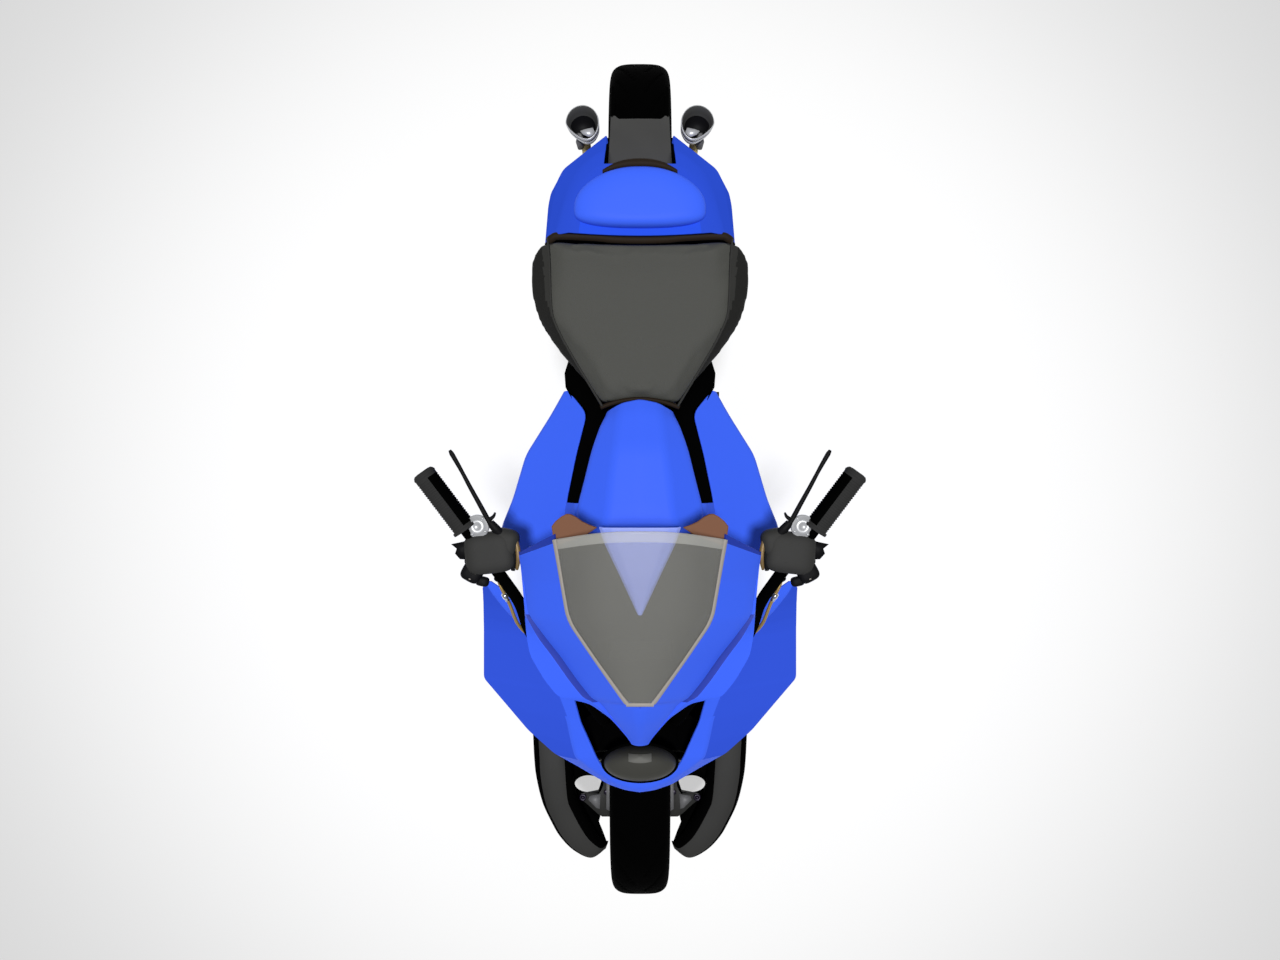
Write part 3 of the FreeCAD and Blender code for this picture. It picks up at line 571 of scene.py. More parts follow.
def panel(name, lines, materials, body, replaces, inside, radius=9.0, along=14.0,
          thickness=PANEL_WALL, mirror=False, which=None, slot="blue_paint"):
    """Body panel: straight runs with rounded corners both ways, and a wall inwards."""
    points, faces = sheet(rounded(ruled(lines, along), radius), inside)
    if mirror:
        points, faces = with_mirror(points, faces)
    item = piece(name, points, faces, materials, body, slot, replaces, merge=0.05, which=which)
    return crisp(walled(item, thickness), 0.8, 50)


SIDE_FAIRING = [
    (178, 144, 742, 152, 731, 157, 692, 157, 650, 152, 620),
    (131, 106, 763, 181, 717, 187, 600, 183, 500, 174, 440),
    (51, 126, 769, 233, 706, 235, 560, 215, 400, 180, 300),
    (-38, 144, 773, 260, 701, 257, 540, 227, 360, 160, 236),
    (-102, 150, 776, 287, 697, 263, 530, 229, 350, 150, 216),
    (-135, 160, 775, 269, 701, 251, 520, 227, 345, 146, 212),
    (-166, 170, 762, 223, 727, 233, 520, 223, 345, 144, 214),
    (-300, 186, 702, 219, 660, 227, 520, 217, 350, 140, 226),
    (-396, 196, 622, 213, 590, 215, 520, 201, 380, 138, 262)]
BRIDGE = [(-44, 98, 838, 122, 824, 148, 765), (-60, 100, 838, 126, 824, 150, 766),
          (-100, 100, 838, 132, 822, 152, 768), (-128, 102, 838, 136, 818, 156, 764)]


def make_side_fairings():
    """Side fairings from the belly seam to the shoulder, and a bridge under the cowl."""
    lines = station_lines(SIDE_FAIRING)
    for side, tag in SIDES:
        panel(f"side_fairing_skin_{tag}", lines * (side, 1, 1), BLUE, CHASSIS,
              f"side_fairing_{tag}", (0, -100, 450), radius=8, along=16)
    panel("shoulder_bridge", station_lines(BRIDGE), BLUE, CHASSIS, (), (0, -80, 700),
          mirror=True, thickness=3.0)


# Wing: place x, y, turn from +X towards -Y in degrees, then d, z of inner edge, crease,
# outer edge and tucked edge
WING = [(0, -197, 0, 290, 785, 303, 779, 320, 707, 290, 650),
        (0, -218, 0, 256, 795, 291, 782, 320, 704, 284, 645),
        (0, -253, 0, 236, 801, 263, 782, 321, 699, 276, 632),
        (0, -286, 0, 221, 803, 231, 781, 322, 693, 250, 604),
        (0, -300, 0, 168, 805, 221, 781, 322, 691, 232, 588),
        (0, -408, 0, 130, 809, 160, 791, 324, 681, 222, 575),
        (0, -464, 0, 115, 805, 138, 795, 273, 689, 206, 600),
        (0, -510, 0, 95, 801, 130, 787, 232, 694, 185, 625),
        (0, -514, 12, 88, 796, 126, 783, 180, 716, 152, 665),
        (0, -507, 30, 89, 791, 112, 777, 136, 741, 135, 718),
        (0, -493, 60, 98, 784, 110, 777, 126, 757, 121, 738),
        (0, -497, 76, 93, 782, 105, 777, 119, 761, 114, 744),
        (0, -500, 90, 90, 781, 102, 777, 115, 766, 111, 748)]


def wing_lines():
    """The wing's stations, each turned about the upright through its place; the outer and
    tucked edges lean forward along the cheek."""
    out = []
    for x, y, turn, *pairs in WING:
        pairs = np.asarray(pairs, float).reshape(-1, 2)
        c, s = math.cos(math.radians(turn)), math.sin(math.radians(turn))
        out.append(np.column_stack([x + pairs[:, 0] * c, y - pairs[:, 0] * s, pairs[:, 1]]))
    lines = np.stack(out)
    lines[:, 2:, 1] -= 24 * np.clip((lines[:, 2:, 1] + 270) / 73, 0, 1) * (lines[:, 2:, 0] > 240)
    return lines


def make_wings():
    """Wings with painted shade, a darker outer face beyond a line that leans in towards its lower
    edge.
    """
    lines = wing_lines()
    x = rounded(ruled(lines, 8), 6)[:, :, 0]
    column = np.arange(x.shape[1] - 1)
    # Painted shade: outer faces beyond the line take the darker blue
    outer = (column >= 3) & ((x[:-1, :-1] + x[1:, 1:]) / 2 > 150 - 4 * (column - 3))
    for side, tag in SIDES:
        panel(f"wing_skin_{tag}", lines * (side, 1, 1), [BLUE, SHADE_BLUE], CHASSIS,
              f"cowl_wing_{tag}", (0, -330, 650), radius=6, along=8, which=outer.ravel())


# Cowl, left half: the screen's edge or the centre plane, the seam's upper side, its floor,
# its lower side, and the lip over the bar
COWL = [
    (-116, 144, 1022, 210, 957, 212, 953, 213, 950, 213, 938),
    (-122, 143, 1020, 209, 955, 211, 951, 213, 948, 213, 936),
    (-168, 134, 1006, 203, 948, 206, 943, 209, 942, 209, 929),
    (-239, 122, 990, 197, 938, 199, 932, 204, 932, 206, 923),
    (-280, 100, 981, 168, 931, 170, 925, 182, 929, 203, 921),
    (-315, 78, 974, 142, 924, 144, 918, 157, 922, 197, 917),
    (-360, 46, 963, 112, 917, 114, 911, 127, 915, 172, 911),
    (-392, 22, 953, 88, 911, 90, 905, 103, 909, 148, 905),
    (-398, 0, 952, 78, 910, 80.5, 904.5, 91, 907.5, 120, 903.5),
    (-405, 0, 949.5, 67.5, 909, 70.5, 903, 78.5, 906, 91, 902),
    (-434, 0, 930, 48, 900, 49, 896, 51, 898, 54, 893),
    (-466, 0, 900, 26, 883, 27, 880, 28, 881, 30, 876),
    (-480, 0, 884, 17, 874, 18, 872, 19, 872, 21, 868),
    (-490, 0, 874, 13, 867, 14, 865, 15, 865, 16, 861)]


def make_upper_cowl():
    """Cowl: the rear edge leans forward towards its corners, and a seam of painted shade runs down
    it.
    """
    lines = ruled(station_lines(COWL), 12)
    station = lines[:-1, 0, 1].copy()
    back = np.clip((lines[:, :, 1] + 150) / 34, 0, 1)
    lines[:, :, 1] += back * (25 - 35 * np.clip((lines[:, :, 0] - 147) / 63, 0, 1))
    at = np.array([0, 0.25, 0.5, 0.75, 1, 2, 3, 3.1, 3.5, 3.9, 4])
    i = np.minimum(at.astype(int), 3)
    grid = lines[:, i] + (at - i)[None, :, None] * (lines[:, i + 1] - lines[:, i])
    grid[:, 1:4, 2] += 1.5
    column = np.tile(np.arange(len(at) - 1), len(grid) - 1)
    station = np.repeat(station, len(at) - 1)
    # Painted shade: the seam is dark beside the bars, and so is the strip under the screen's rear
    # edge.
    groove = (column >= 4) & (column <= 5) & (station < -236) & (station > -400)
    rim = station > -121.5
    item = pair("upper_cowl_skin", [sheet(grid, (0, -300, 700))], [BLUE, SEAM_SHADE_BLUE], CHASSIS,
                "blue_paint", "upper_cowl", merge=0.05, which=groove | rim)
    crisp(walled(item, PANEL_WALL), 0.5, 50)


# Tank: y, half width and z of the centre panel's edge, the shoulder and the lower edge
TANK = [(140, 36, 828, 62, 812, 66, 768), (120, 39, 842, 70, 822, 72, 767),
        (60, 46, 862, 92, 830, 88, 767), (0, 54, 868, 107, 833, 98, 767),
        (-56, 60, 873, 122, 835, 106, 767), (-84, 66, 872, 122, 833, 108, 767),
        (-100, 68, 870, 122, 831, 108, 767)]
# Pale hood between the screen's sides, as panel stations; its paler, glowing paint is painted light
# that offsets the screen's shade
HOOD = [(-84, 0, 950, 50, 949, 68, 946, 73, 929), (-112, 0, 948, 42, 947, 59, 944, 64, 929),
        (-175, 0, 943, 20, 942, 30, 939, 34, 928), (-240, 0, 936, 1, 936, 2, 934, 4, 927)]


def make_tank():
    """Tank skin: half lines mirrored into full ones, a rounded tail end and closed ends;
    then the pale hood in front of it."""
    half = ruled(station_lines([(y, 0, top + 3, a, top, b, z, c, low)
                                for y, a, top, b, z, c, low in TANK]), 20)
    back = np.clip((half[:, :, 1] - 100) / 40, 0, 1)
    half[:, :, 1] += back * (14 - 24 * np.clip(half[:, :, 0] / 66, 0, 1) ** 2)
    grid = rounded(np.concatenate([half[:, :0:-1] * (-1, 1, 1), half], axis=1), 11)
    rear, front = (drawn_in(end, np.array([0, end[0, :, 1].mean(), 800.0]), 0.02)
                   for end in (grid[:1], grid[-1:]))
    item = piece("tank_skin", *sheet(np.concatenate([rear, grid, front]), (0, 20, 780)), BLUE,
                 CHASSIS, "blue_paint", "fuel_tank", merge=0.05)
    crisp(item, 3.0, 40, 3)
    panel("dash_hood_skin", station_lines(HOOD), PALE_GLOW_BLUE, CHASSIS, "dash_hood",
          (0, -150, 850), radius=4, mirror=True, thickness=2.0, slot="pale_blue_paint")


# Tail: outlines at four heights, as (x, y) points of the left half from rear to front
TAIL_LEVELS = [(700, [(67, 690), (114, 650), (163, 612), (181, 588), (187, 560), (195, 463)]),
               (780, [(66, 672), (107, 640), (150, 606), (162, 580), (169, 548), (184, 463)]),
               (835, [(66, 622), (88, 612), (116, 586), (130, 562), (140, 536), (160, 463)]),
               (850, [(68, 590), (84, 586), (104, 570), (118, 546), (124, 520), (134, 463)])]


def make_tail():
    """Tail skin: outlines joined upwards, a lid and a rear wall, with painted shade on its sides
    and painted light on its lid;
    then the hump as a low dome, the inner fender and the lip behind the hump, both painted shade."""
    levels = []
    for z, outline in TAIL_LEVELS:
        line = rounded(np.array([outline], float), 10)[0]
        levels.append(np.column_stack([line, np.full(len(line), float(z))]))
    sides = sheet(ruled(np.stack(levels), 8), (0, 540, 760))
    lid = np.stack([levels[-1] * (1 - t, 1, 1) for t in np.linspace(0, 1, 8)])
    lid[:, :, 1] -= 6 * (1 - (lid[:, :, 0] / 134) ** 2) * np.clip((490 - lid[:, :, 1]) / 27, 0, 1)
    wall = bowed(np.linspace(70, 0, 6), 0,
                 ((591, 0, 850), (594, 0, 842), (592, 0, 780), (592, 0, 700)))
    points, faces = joined([sides, sheet(lid, (0, 540, 700)), sheet(wall, (0, 500, 780))])
    # Painted light: lid faces take the lighter blue, the side faces the darker one
    centre = points[faces].mean(axis=1)
    lid_lit = (centre[:, 1] < 486) & (centre[:, 2] > 849)
    item = pair("tail_skin", [(points, faces)], [SIDE_SHADE_BLUE, LID_LIT_BLUE], CHASSIS, "blue_paint",
                "tail_cowl", merge=0.4, which=lid_lit)
    crisp(walled(item, 3.4), 0.8, 60)

    # Hump: rings of a squared oval that shrink as a quarter wave rises to the crown.
    a = np.linspace(0, 2 * np.pi, 72, endpoint=False)[None, :]
    t = np.linspace(0, 1, 14)[:, None]
    out = np.cos(t * np.pi / 2) ** 0.4
    wide = squared(np.cos(a), 0.82) * 124
    back = np.sin(a)
    reach = np.where(back > 0, 78.0 * np.abs(back) ** 0.9, -36.0 * np.abs(back) ** 0.6)
    narrow = 1 - 0.14 * np.clip(back, 0, 1) ** 2
    x, y = out * wide * narrow, 506 + out * reach
    z = 848 + 24 * np.sin(t * np.pi / 2) ** 0.7 - 3.0 * (np.abs(x) / 130) ** 2
    piece("tail_hump_skin", *sheet(np.stack([x, y, z], -1), (0, 520, 800), True), BLUE, CHASSIS,
          "blue_paint", merge=0.2)

    # Black inner fender that closes the gaps beside the plate, as painted shade in them.
    fender = [(52, 590), (88, 590), (88, 640), (80, 700), (73, 724), (56, 724)]
    pair("inner_shade_fender", [plate(fender, 628, 632)], BLACK_PLASTIC, CHASSIS, "dark_plastic")

    # Dark lip behind the hump, a painted shadow: a band whose rear edge bows towards the plate.
    x = np.linspace(-70, 70, 33)
    lip = bowed(x, 1 - (np.abs(x) / 70) ** 2.4,
                ((572, 14, 850), (574, 15, 853.5), (578, 20, 853.5), (582, 21, 846),
                 (584, 18, 700)))
    piece("tail_shadow_lip", *sheet(lip, (0, 500, 800)), PIPING, CHASSIS, "dark_plastic")


# Screen: y, edge half, edge z, middle half, middle z, crown z; y leans back with height
SCREEN = [(-391, 24, 962, 12, 965, 966), (-389, 27, 962, 13, 966, 968),
          (-309, 79, 985, 46, 1020, 1028), (-238, 124, 1002, 72, 1058, 1070),
          (-168, 134, 1020, 80, 1086, 1100), (-99, 144, 1040, 62, 1113, 1120)]
SCREEN_LEAN = 0.23
BAND_FROM = -98.0  # where the paler band starts along the screen


def make_screen():
    """Film through the stations, a paler band along its rear edge and a trim around it."""
    out = []
    for y, edge, z_edge, middle, z_middle, crown in SCREEN:
        half = np.array([(0, crown), (middle, z_middle), (edge, z_edge)], float)
        line = np.concatenate([half[:0:-1] * (-1, 1), half])
        out.append(np.column_stack([line[:, 0], y + SCREEN_LEAN * (line[:, 1] - z_edge),
                                    line[:, 1]]))
    grid = eased(ruled(np.stack(out), 22), 0.25, 3)
    spine = grid.shape[1] // 2
    start = np.searchsorted(grid[:, spine, 1], BAND_FROM)
    last, before = grid[-1], grid[start - 1]
    share = (BAND_FROM - before[spine, 1]) / (last[spine, 1] - before[spine, 1])
    band_rows = [before + (last - before) * t for t in np.linspace(share, 1, 5)]
    grid = np.concatenate([grid[:1], grid[:start], np.stack(band_rows)])
    row = np.repeat(np.arange(len(grid) - 1), grid.shape[1] - 1)
    film = piece("screen_film", *sheet(grid, (0, -250, 900)), [SMOKED, BAND], CHASSIS,
                 "smoked_screen", "windscreen", which=row >= len(grid) - 5, merge=0.01)
    walled(film, 3.0)
    strips = []
    lift = np.array([0, 0, 1.6])
    for edge, next_in in ((grid[:, 0], grid[:, 3]), (grid[:, -1], grid[:, -4])):
        run = next_in - edge
        run = run / np.linalg.norm(run, axis=1, keepdims=True)
        strips.append(np.stack([edge - run * 1.5 - lift, edge - run * 1.5 + lift,
                                edge + run * 8 + lift, edge + run * 8 - lift * 0.2], axis=1))
    line = grid[1, np.abs(grid[1, :, 0]) < 25]
    strips.append(np.stack([line + (0, -3.6, -3.0), line + (0, -3.6, 1.6), line + (0, 3, 2.2),
                            line + (0, 3, 0)], axis=1))
    piece("screen_edge_trim", *joined([sheet(strip, (0, -250, 800)) for strip in strips]), CREAM,
          CHASSIS, "smoked_screen")


# ---------------------------------------------------------------- seat
# y, top half, top z, side half, side z, bottom half, bottom z
SEAT = [(142, 72, 800, 80, 788, 82, 768), (185, 98, 800, 116, 778, 102, 757),
        (235, 128, 800, 164, 770, 122, 745), (274, 150, 802, 194, 769, 134, 745),
        (313, 167, 805, 218, 771, 142, 745), (350, 171, 808, 230, 773, 148, 745),
        (389, 172, 812, 235, 775, 152, 745), (430, 173, 822, 229, 785, 154, 745),
        (456, 175, 833, 206, 801, 154, 747)]
SEAT_ROWS = 60
SEAT_VOXEL, SEAT_TRAVEL = 6, 7  # remesh step and the swell's cap, mm
SEAT_PRESSURE = 4.0


def seat_grid(rows):
    """Closed seat skin: half lines mirrored to rings, and ends drawn in to their middles."""
    half = [[(0, y, z_top + 2), (top, y, z_top), (side, y, z_side), (low, y, z_low),
             (0, y, z_low)] for y, top, z_top, side, z_side, low, z_low in SEAT]
    half = flowing(np.array(half, float), rows)
    half[:, :, 1] += front_bow(half)
    ring = np.concatenate([half, half[:, -2:0:-1] * (-1, 1, 1)], axis=1)
    ring = np.concatenate([ring, ring[:, :1]], axis=1)
    ring = eased(ring, 0.16, 2)[:, :-1]
    ends = []
    for end, push in ((ring[:1], -3.0), (ring[-1:], 3.0)):
        middle = end.mean(axis=1, keepdims=True) + (0, push, 0)
        ends.append([drawn_in(end, middle, share) for share in (0.04, 0.5, 0.93)])
    return np.concatenate([*ends[0], ring, *ends[1][::-1]])


def front_bow(points):
    """How far the seat's front edge steps back in its middle, around the tank's end."""
    near = np.clip((200 - points[..., 1]) / 58, 0, 1)
    return near * 17 * np.clip(1 - (points[..., 0] / 78) ** 2, 0, 1)


def make_seat():
    """Padded seat: shrunk form, voxel remesh, a short cloth swell with its travel capped,
    then the colours of its sides; piping, rolls and the rear base go round it."""
    centre = np.array([0, 320, 784.0])
    grid = centre + (seat_grid(SEAT_ROWS) - centre) * (0.985, 0.985, 0.93)
    pad = piece("seat_pad", *sheet(grid, centre, True), [SEAT_COVER, SEAT_SIDE, SEAT_BAND],
                CHASSIS, "seat_cover", "seat", merge=0.3)
    remesh = pad.modifiers.new("even", "REMESH")
    remesh.mode, remesh.voxel_size = "VOXEL", SEAT_VOXEL * MM
    bake(pad)
    swell(pad, SEAT_PRESSURE, SEAT_TRAVEL * MM)
    smooth = pad.modifiers.new("settle", "SMOOTH")
    smooth.factor, smooth.iterations = 0.5, 6
    bake(pad)
    paint_sides(pad)
    finer = pad.modifiers.new("finer", "SUBSURF")
    finer.levels = finer.render_levels = 1
    # The seat's top edge on one side, a little proud of the pad.
    edge = flowing([(top * 0.995 + 1, y, z_top + 0.5) for y, top, z_top, *_ in SEAT], SEAT_ROWS)
    for side, tag in SIDES:
        piece(f"seat_piping_{tag}", *tube(edge * (side, 1, 1), 2.2, 10), SEAT_BAND, CHASSIS,
              "seat_cover")
    rear = np.array([(175, 451, 822), (167, 457, 829), (150, 461, 832), (84, 457.5, 835),
                     (50, 454, 835.5), (0, 452.5, 836)], float)
    rear = np.concatenate([rear, rear[-2::-1] * (-1, 1, 1)])
    piece("seat_rear_roll", *tube(rear, [3] + [7.5] * 18 + [3], 16, 0.9, 140), PIPING, CHASSIS,
          "seat_cover")
    base = [(-178, 420), (178, 420), (184, 456), (160, 484), (-160, 484), (-184, 456)]
    piece("seat_rear_base", *plate(base, 782, 796), BLACK_PLASTIC, CHASSIS, "dark_plastic")
    x = np.linspace(-76, 76, 61)
    front = np.column_stack([x, 139 + 17 * (1 - (x / 78) ** 2), 797 - 4 * (x / 76) ** 2])
    piece("seat_front_roll", *tube(front, 4.4, 12, 1.2), PIPING, CHASSIS, "seat_cover")


def bake(item):
    """Applies an item's modifiers to its mesh."""
    graph = bpy.context.evaluated_depsgraph_get()
    made = bpy.data.meshes.new_from_object(item.evaluated_get(graph))
    item.modifiers.clear()
    item.data = made
    made.shade_smooth()


def coordinates(item):
    """The item's mesh points as rows."""
    flat = np.empty(len(item.data.vertices) * 3)
    item.data.vertices.foreach_get("co", flat)
    return flat.reshape(-1, 3)


def swell(item, pressure, cap):
    """Twenty frames of cloth under pressure with no gravity; no point moves past the cap."""
    before = coordinates(item)
    cloth = item.modifiers.new("cloth", "CLOTH")
    settings = cloth.settings
    settings.use_pressure = True
    settings.uniform_pressure_force = pressure
    settings.effector_weights.gravity = 0
    settings.tension_stiffness = settings.compression_stiffness = 15
    scene = bpy.context.scene
    for step in range(1, 21):
        scene.frame_set(step)
    bake(item)
    scene.frame_set(1)
    moved = coordinates(item) - before
    size = np.linalg.norm(moved, axis=1, keepdims=True)
    held = before + moved * np.minimum(1, cap / np.maximum(size, 1e-9))
    item.data.vertices.foreach_set("co", held.ravel())
    item.data.update()


def paint_sides(item):
    """Side cover on faces that lean outwards beyond the top edge, with a paler band next to
    the edge, and top cover elsewhere."""
    count = len(item.data.polygons)
    centre, normal = np.empty(count * 3), np.empty(count * 3)
    item.data.polygons.foreach_get("center", centre)
    item.data.polygons.foreach_get("normal", normal)
    centre, normal = centre.reshape(-1, 3), normal.reshape(-1, 3)
    table = np.array([(y, top) for y, top, *_ in SEAT], float) * MM
    limit = np.interp(centre[:, 1], table[:, 0], table[:, 1])
    side = (np.abs(centre[:, 0]) > limit) | (normal[:, 2] < 0.35)
    past = np.abs(centre[:, 0]) - limit
    wide = 13 * MM * np.clip((centre[:, 1] / MM - 300) / 60, 0, 1)
    index = np.where(side, np.where((past > 0) & (past < wide), 2, 1), 0)
    item.data.materials.clear()
    for cover in (SEAT_COVER, SEAT_SIDE, SEAT_BAND):
        item.data.materials.append(cover)
    item.data.polygons.foreach_set("material_index", index.astype(np.int32))


# ---------------------------------------------------------------- wheels
FRONT_WHEEL_AT, REAR_WHEEL_AT = (0.0, -700.0, 300.0), (0.0, 700.0, 310.0)
# half width and radius from bead over the side wall to the crown
TYRE_SECTION = [(54, 216), (58, 221), (63.5, 232), (66.5, 246), (67, 256), (66, 270),
                (62, 283), (54.5, 291.5), (43, 297), (28, 299.4), (10, 300), (0, 300)]
TREAD_STEPS, TREAD_GROOVES, GROOVE_DEPTH = 420, 22, 3.2
DISC_STEPS = 288


def make_tyre(name, centre, widen, body, node):
    """Tyre: the section turned about the axle, with slanted grooves cut where a wave of the
    angle and the width runs below its threshold."""
    half = flowing(TYRE_SECTION, 40)
    section = np.concatenate([half, half[-2::-1] * (-1, 1)])
    a = np.linspace(0, 2 * np.pi, TREAD_STEPS, endpoint=False)[:, None]
    x, r = section[None, :, 0] * widen, section[None, :, 1]
    across = np.abs(x) / 60
    turn = a * TREAD_GROOVES / (2 * np.pi)
    groove = np.abs(np.mod(turn + 1.6 * across + (x > 0) * 0.5, 1) - 0.5)
    cut = np.clip(1 - groove / 0.045, 0, 1) ** 0.5 * (across > 0.16) * (across < 0.86) * (r > 284)
    ring = np.clip(1 - np.abs(np.abs(x) - 62) / 1.2, 0, 1) * (r < 262) * 0.6
    r = r - GROOVE_DEPTH * cut + ring
    grid = np.stack([centre[0] + x + 0 * a, centre[1] + r * np.cos(a),
                     centre[2] + r * np.sin(a)], -1)
    points, faces = joined([(part.reshape(-1, 3), quads(TREAD_STEPS, part.shape[1], True))
                            for part in (grid, grid[:, [-1, 0]])])
    piece(name, points, turned_wheel(points, faces, centre), TYRE, body, "tyre", node, merge=0.02)


def turned_wheel(points, faces, centre):
    """Faces of a ring about the wheel axis, with the outer skin looking outwards."""
    away = points - centre
    ring = np.asarray(centre, float) + away * (0, 1, 1) / np.maximum(
        np.linalg.norm(away[:, 1:], axis=1, keepdims=True), 1e-6) * 250
    return turned_out(points, faces, ring[faces].mean(axis=1))


def wheel_band(centre, x, half, low, high, a):
    """Flat ring about a wheel's axle, half a thickness each side of x, between two radii
    that may change with the angles a."""
    grid = np.stack([np.stack([np.full_like(a, at), centre[1] + r * np.cos(a),
                               centre[2] + r * np.sin(a)], -1)
                     for at, r in ((x - half, low), (x - half, high), (x + half, high),
                                   (x + half, low))])
    points = grid.reshape(-1, 3)
    return points, turned_wheel(points, quads(4, len(a), True, True), centre)


def around(centre, x, radius, count, start=0.0):
    """Evenly spaced places on a circle about a wheel's axle."""
    angles = [start + 2 * math.pi * k / count for k in range(count)]
    return [(x, centre[1] + radius * math.cos(a), centre[2] + radius * math.sin(a))
            for a in angles]


def make_disc(name, centre, xs, radius, inner, waves, body, node):
    """Brake disc: a flat ring whose edges wave in and out, on a carrier with rivets."""
    a = np.linspace(0, 2 * np.pi, DISC_STEPS, endpoint=False)
    wave = 2 * np.cos(a * waves)
    spider = inner + 66 - 22 * (np.cos(a * 8) < 0.35)
    rivet = [(-4, 0), (-4, 5), (-3.4, 6), (3.4, 6), (4, 5), (4, 0)]
    discs, carriers = [], []
    for x in xs:
        discs.append(wheel_band(centre, x, 2.4, inner + 62 + wave, radius - 2 + wave, a))
        carriers.append(wheel_band(centre, x, 1.8, inner + 2.0, spider, a))
        carriers += [lathe(rivet, spot, (1, 0, 0), 12)
                     for spot in around(centre, x, inner + 64, 8)]
    piece(name, *joined(discs), STEEL, body, "steel", node)
    piece(f"{name}_carrier", *joined(carriers), BLACK_METAL, body, "rim_paint")


def make_wheels():
    """Both tyres with their tread, the brake discs and the bolts on both faces of each hub."""
    wheels = (("front", FRONT_WHEEL_AT, 1.0, FRONT_WHEEL),
              ("rear", REAR_WHEEL_AT, 1.04, REAR_WHEEL))
    for tag, at, widen, body in wheels:
        make_tyre(f"{tag}_tyre_tread", at, widen, body, f"{tag}_tyre")
    make_disc("front_brake_discs", FRONT_WHEEL_AT, (63, -63), 150, 28, 12, FRONT_WHEEL,
              "front_discs")
    make_disc("rear_brake_disc", REAR_WHEEL_AT, (-63,), 110, 24, 10, REAR_WHEEL, "rear_disc")
    bolt = [(0, 0), (0, 4), (3.2, 4), (4, 3), (4, 0)]
    for tag, at, _, body in wheels:
        bolts = [lathe(bolt, spot, (side, 0, 0), 12) for side in (1, -1)
                 for spot in around(at, side * 57, 20, 5, math.radians(36))]
        piece(f"{tag}_hub_bolts", *joined(bolts), STEEL, body, "steel")


# ---------------------------------------------------------------- chain and sprocket
SPROCKET_X, SPROCKET_R, FRONT_SPROCKET_R = 84.0, 92.0, 38.0
FRONT_SPROCKET_AT = (58.0, 428.0)
CHAIN_PITCH, TEETH = 15.875, 42


def chain_line(extra):
    """Closed line around both sprockets: arcs at the sprockets and their outer tangents,
    with points a pitch apart along it, in an even number."""
    big, small = SPROCKET_R + extra, FRONT_SPROCKET_R + extra
    rear, front = np.array(REAR_WHEEL_AT[1:]), np.array(FRONT_SPROCKET_AT)
    gap = front - rear
    tilt, opened = math.atan2(gap[1], gap[0]), math.acos((big - small) / np.hypot(*gap))
    a = np.linspace(tilt + opened, tilt + 2 * np.pi - opened, 200)
    b = np.linspace(tilt - opened, tilt + opened, 100)
    line = np.concatenate([rear + big * np.column_stack([np.cos(a), np.sin(a)]),
                           front + small * np.column_stack([np.cos(b), np.sin(b)])])
    line = np.concatenate([line, line[:1]])
    run = np.concatenate([[0], np.cumsum(np.linalg.norm(np.diff(line, axis=0), axis=1))])
    at = np.linspace(0, run[-1], int(round(run[-1] / CHAIN_PITCH / 2)) * 2, endpoint=False)
    return np.column_stack([np.interp(at, run, line[:, 0]), np.interp(at, run, line[:, 1])])


def links(layers):
    """One closed skin for each link of the chain, from (x, rings) layers across it: rings
    holds each link's outline as (y, z) points."""
    grid = np.stack([np.concatenate([np.broadcast_to(x, rings.shape[:2] + (1,)), rings], -1)
                     for x, rings in layers], axis=1)
    count, rows, cols = grid.shape[:3]
    start = (np.arange(count) * rows * cols)[:, None, None]
    return grid.reshape(-1, 3), (quads(rows, cols, False, True)[None] + start).reshape(-1, 4)


def make_chain():
    """Roller chain: figure-of-eight side plates, alternately inside and outside, and pins;
    then the toothed sprocket with its hub and bolts."""
    pins = chain_line(7.0)
    n = len(pins)
    ahead = np.roll(pins, -1, axis=0) - pins
    along = ahead / np.linalg.norm(ahead, axis=1, keepdims=True)
    across = np.column_stack([-along[:, 1], along[:, 0]])
    middle = pins + ahead / 2
    outline = np.array([(-12.5, 0), (-10, 5.2), (-6, 5.4), (0, 3.6), (6, 5.4), (10, 5.2), (12.5, 0),
                        (10, -5.2), (6, -5.4), (0, -3.6), (-6, -5.4), (-10, -5.2)])
    flat = outline[None, :, :1] * along[:, None] + outline[None, :, 1:] * across[:, None]
    depth = np.where(np.arange(n) % 2 == 0, 5.2, 7.6)[:, None, None]
    parts = []
    for side in (1, -1):
        layers = [(SPROCKET_X + side * (depth + dx), middle[:, None] + flat * size)
                  for size, dx in ((0.0, 0.0), (1.0, 0.0), (1.0, 1.6), (0.0, 1.6))]
        points, faces = links(layers)
        parts.append((points, faces if side < 0 else faces[:, ::-1]))
    a = np.linspace(0, 2 * np.pi, 10, endpoint=False)
    circle = np.stack([np.cos(a), np.sin(a)], -1)[None]
    layers = [(SPROCKET_X + x, pins[:, None] + r * circle)
              for x, r in ((-10.2, 0), (-10.2, 2.6), (-4.8, 2.6), (-4.6, 4.9), (4.6, 4.9),
                           (4.8, 2.6), (10.2, 2.6), (10.2, 0))]
    points, faces = links(layers)
    parts.append((points, faces[:, ::-1]))
    piece("roller_chain", *joined(parts), STEEL, CHASSIS, "steel", "chain")

    a = np.linspace(0, 2 * np.pi, TEETH * 8, endpoint=False)
    rim = SPROCKET_R + 1.5 - 4.5 * np.clip(np.cos(a * TEETH) * 1.4, -0.4, 1)
    bolts = [lathe([(0, 0), (0, 6), (4, 6), (5, 5), (5, 0)], spot, (1, 0, 0), 6)
             for spot in around(REAR_WHEEL_AT, SPROCKET_X + 2, 52, 6)]
    points, faces = joined([wheel_band(REAR_WHEEL_AT, SPROCKET_X, 2.2, 43, rim, a),
                            wheel_band(REAR_WHEEL_AT, SPROCKET_X, 2.4, 30, 44, a)] + bolts)
    piece("toothed_sprocket", points, faces, STEEL, REAR_WHEEL, "steel", "rear_sprocket")


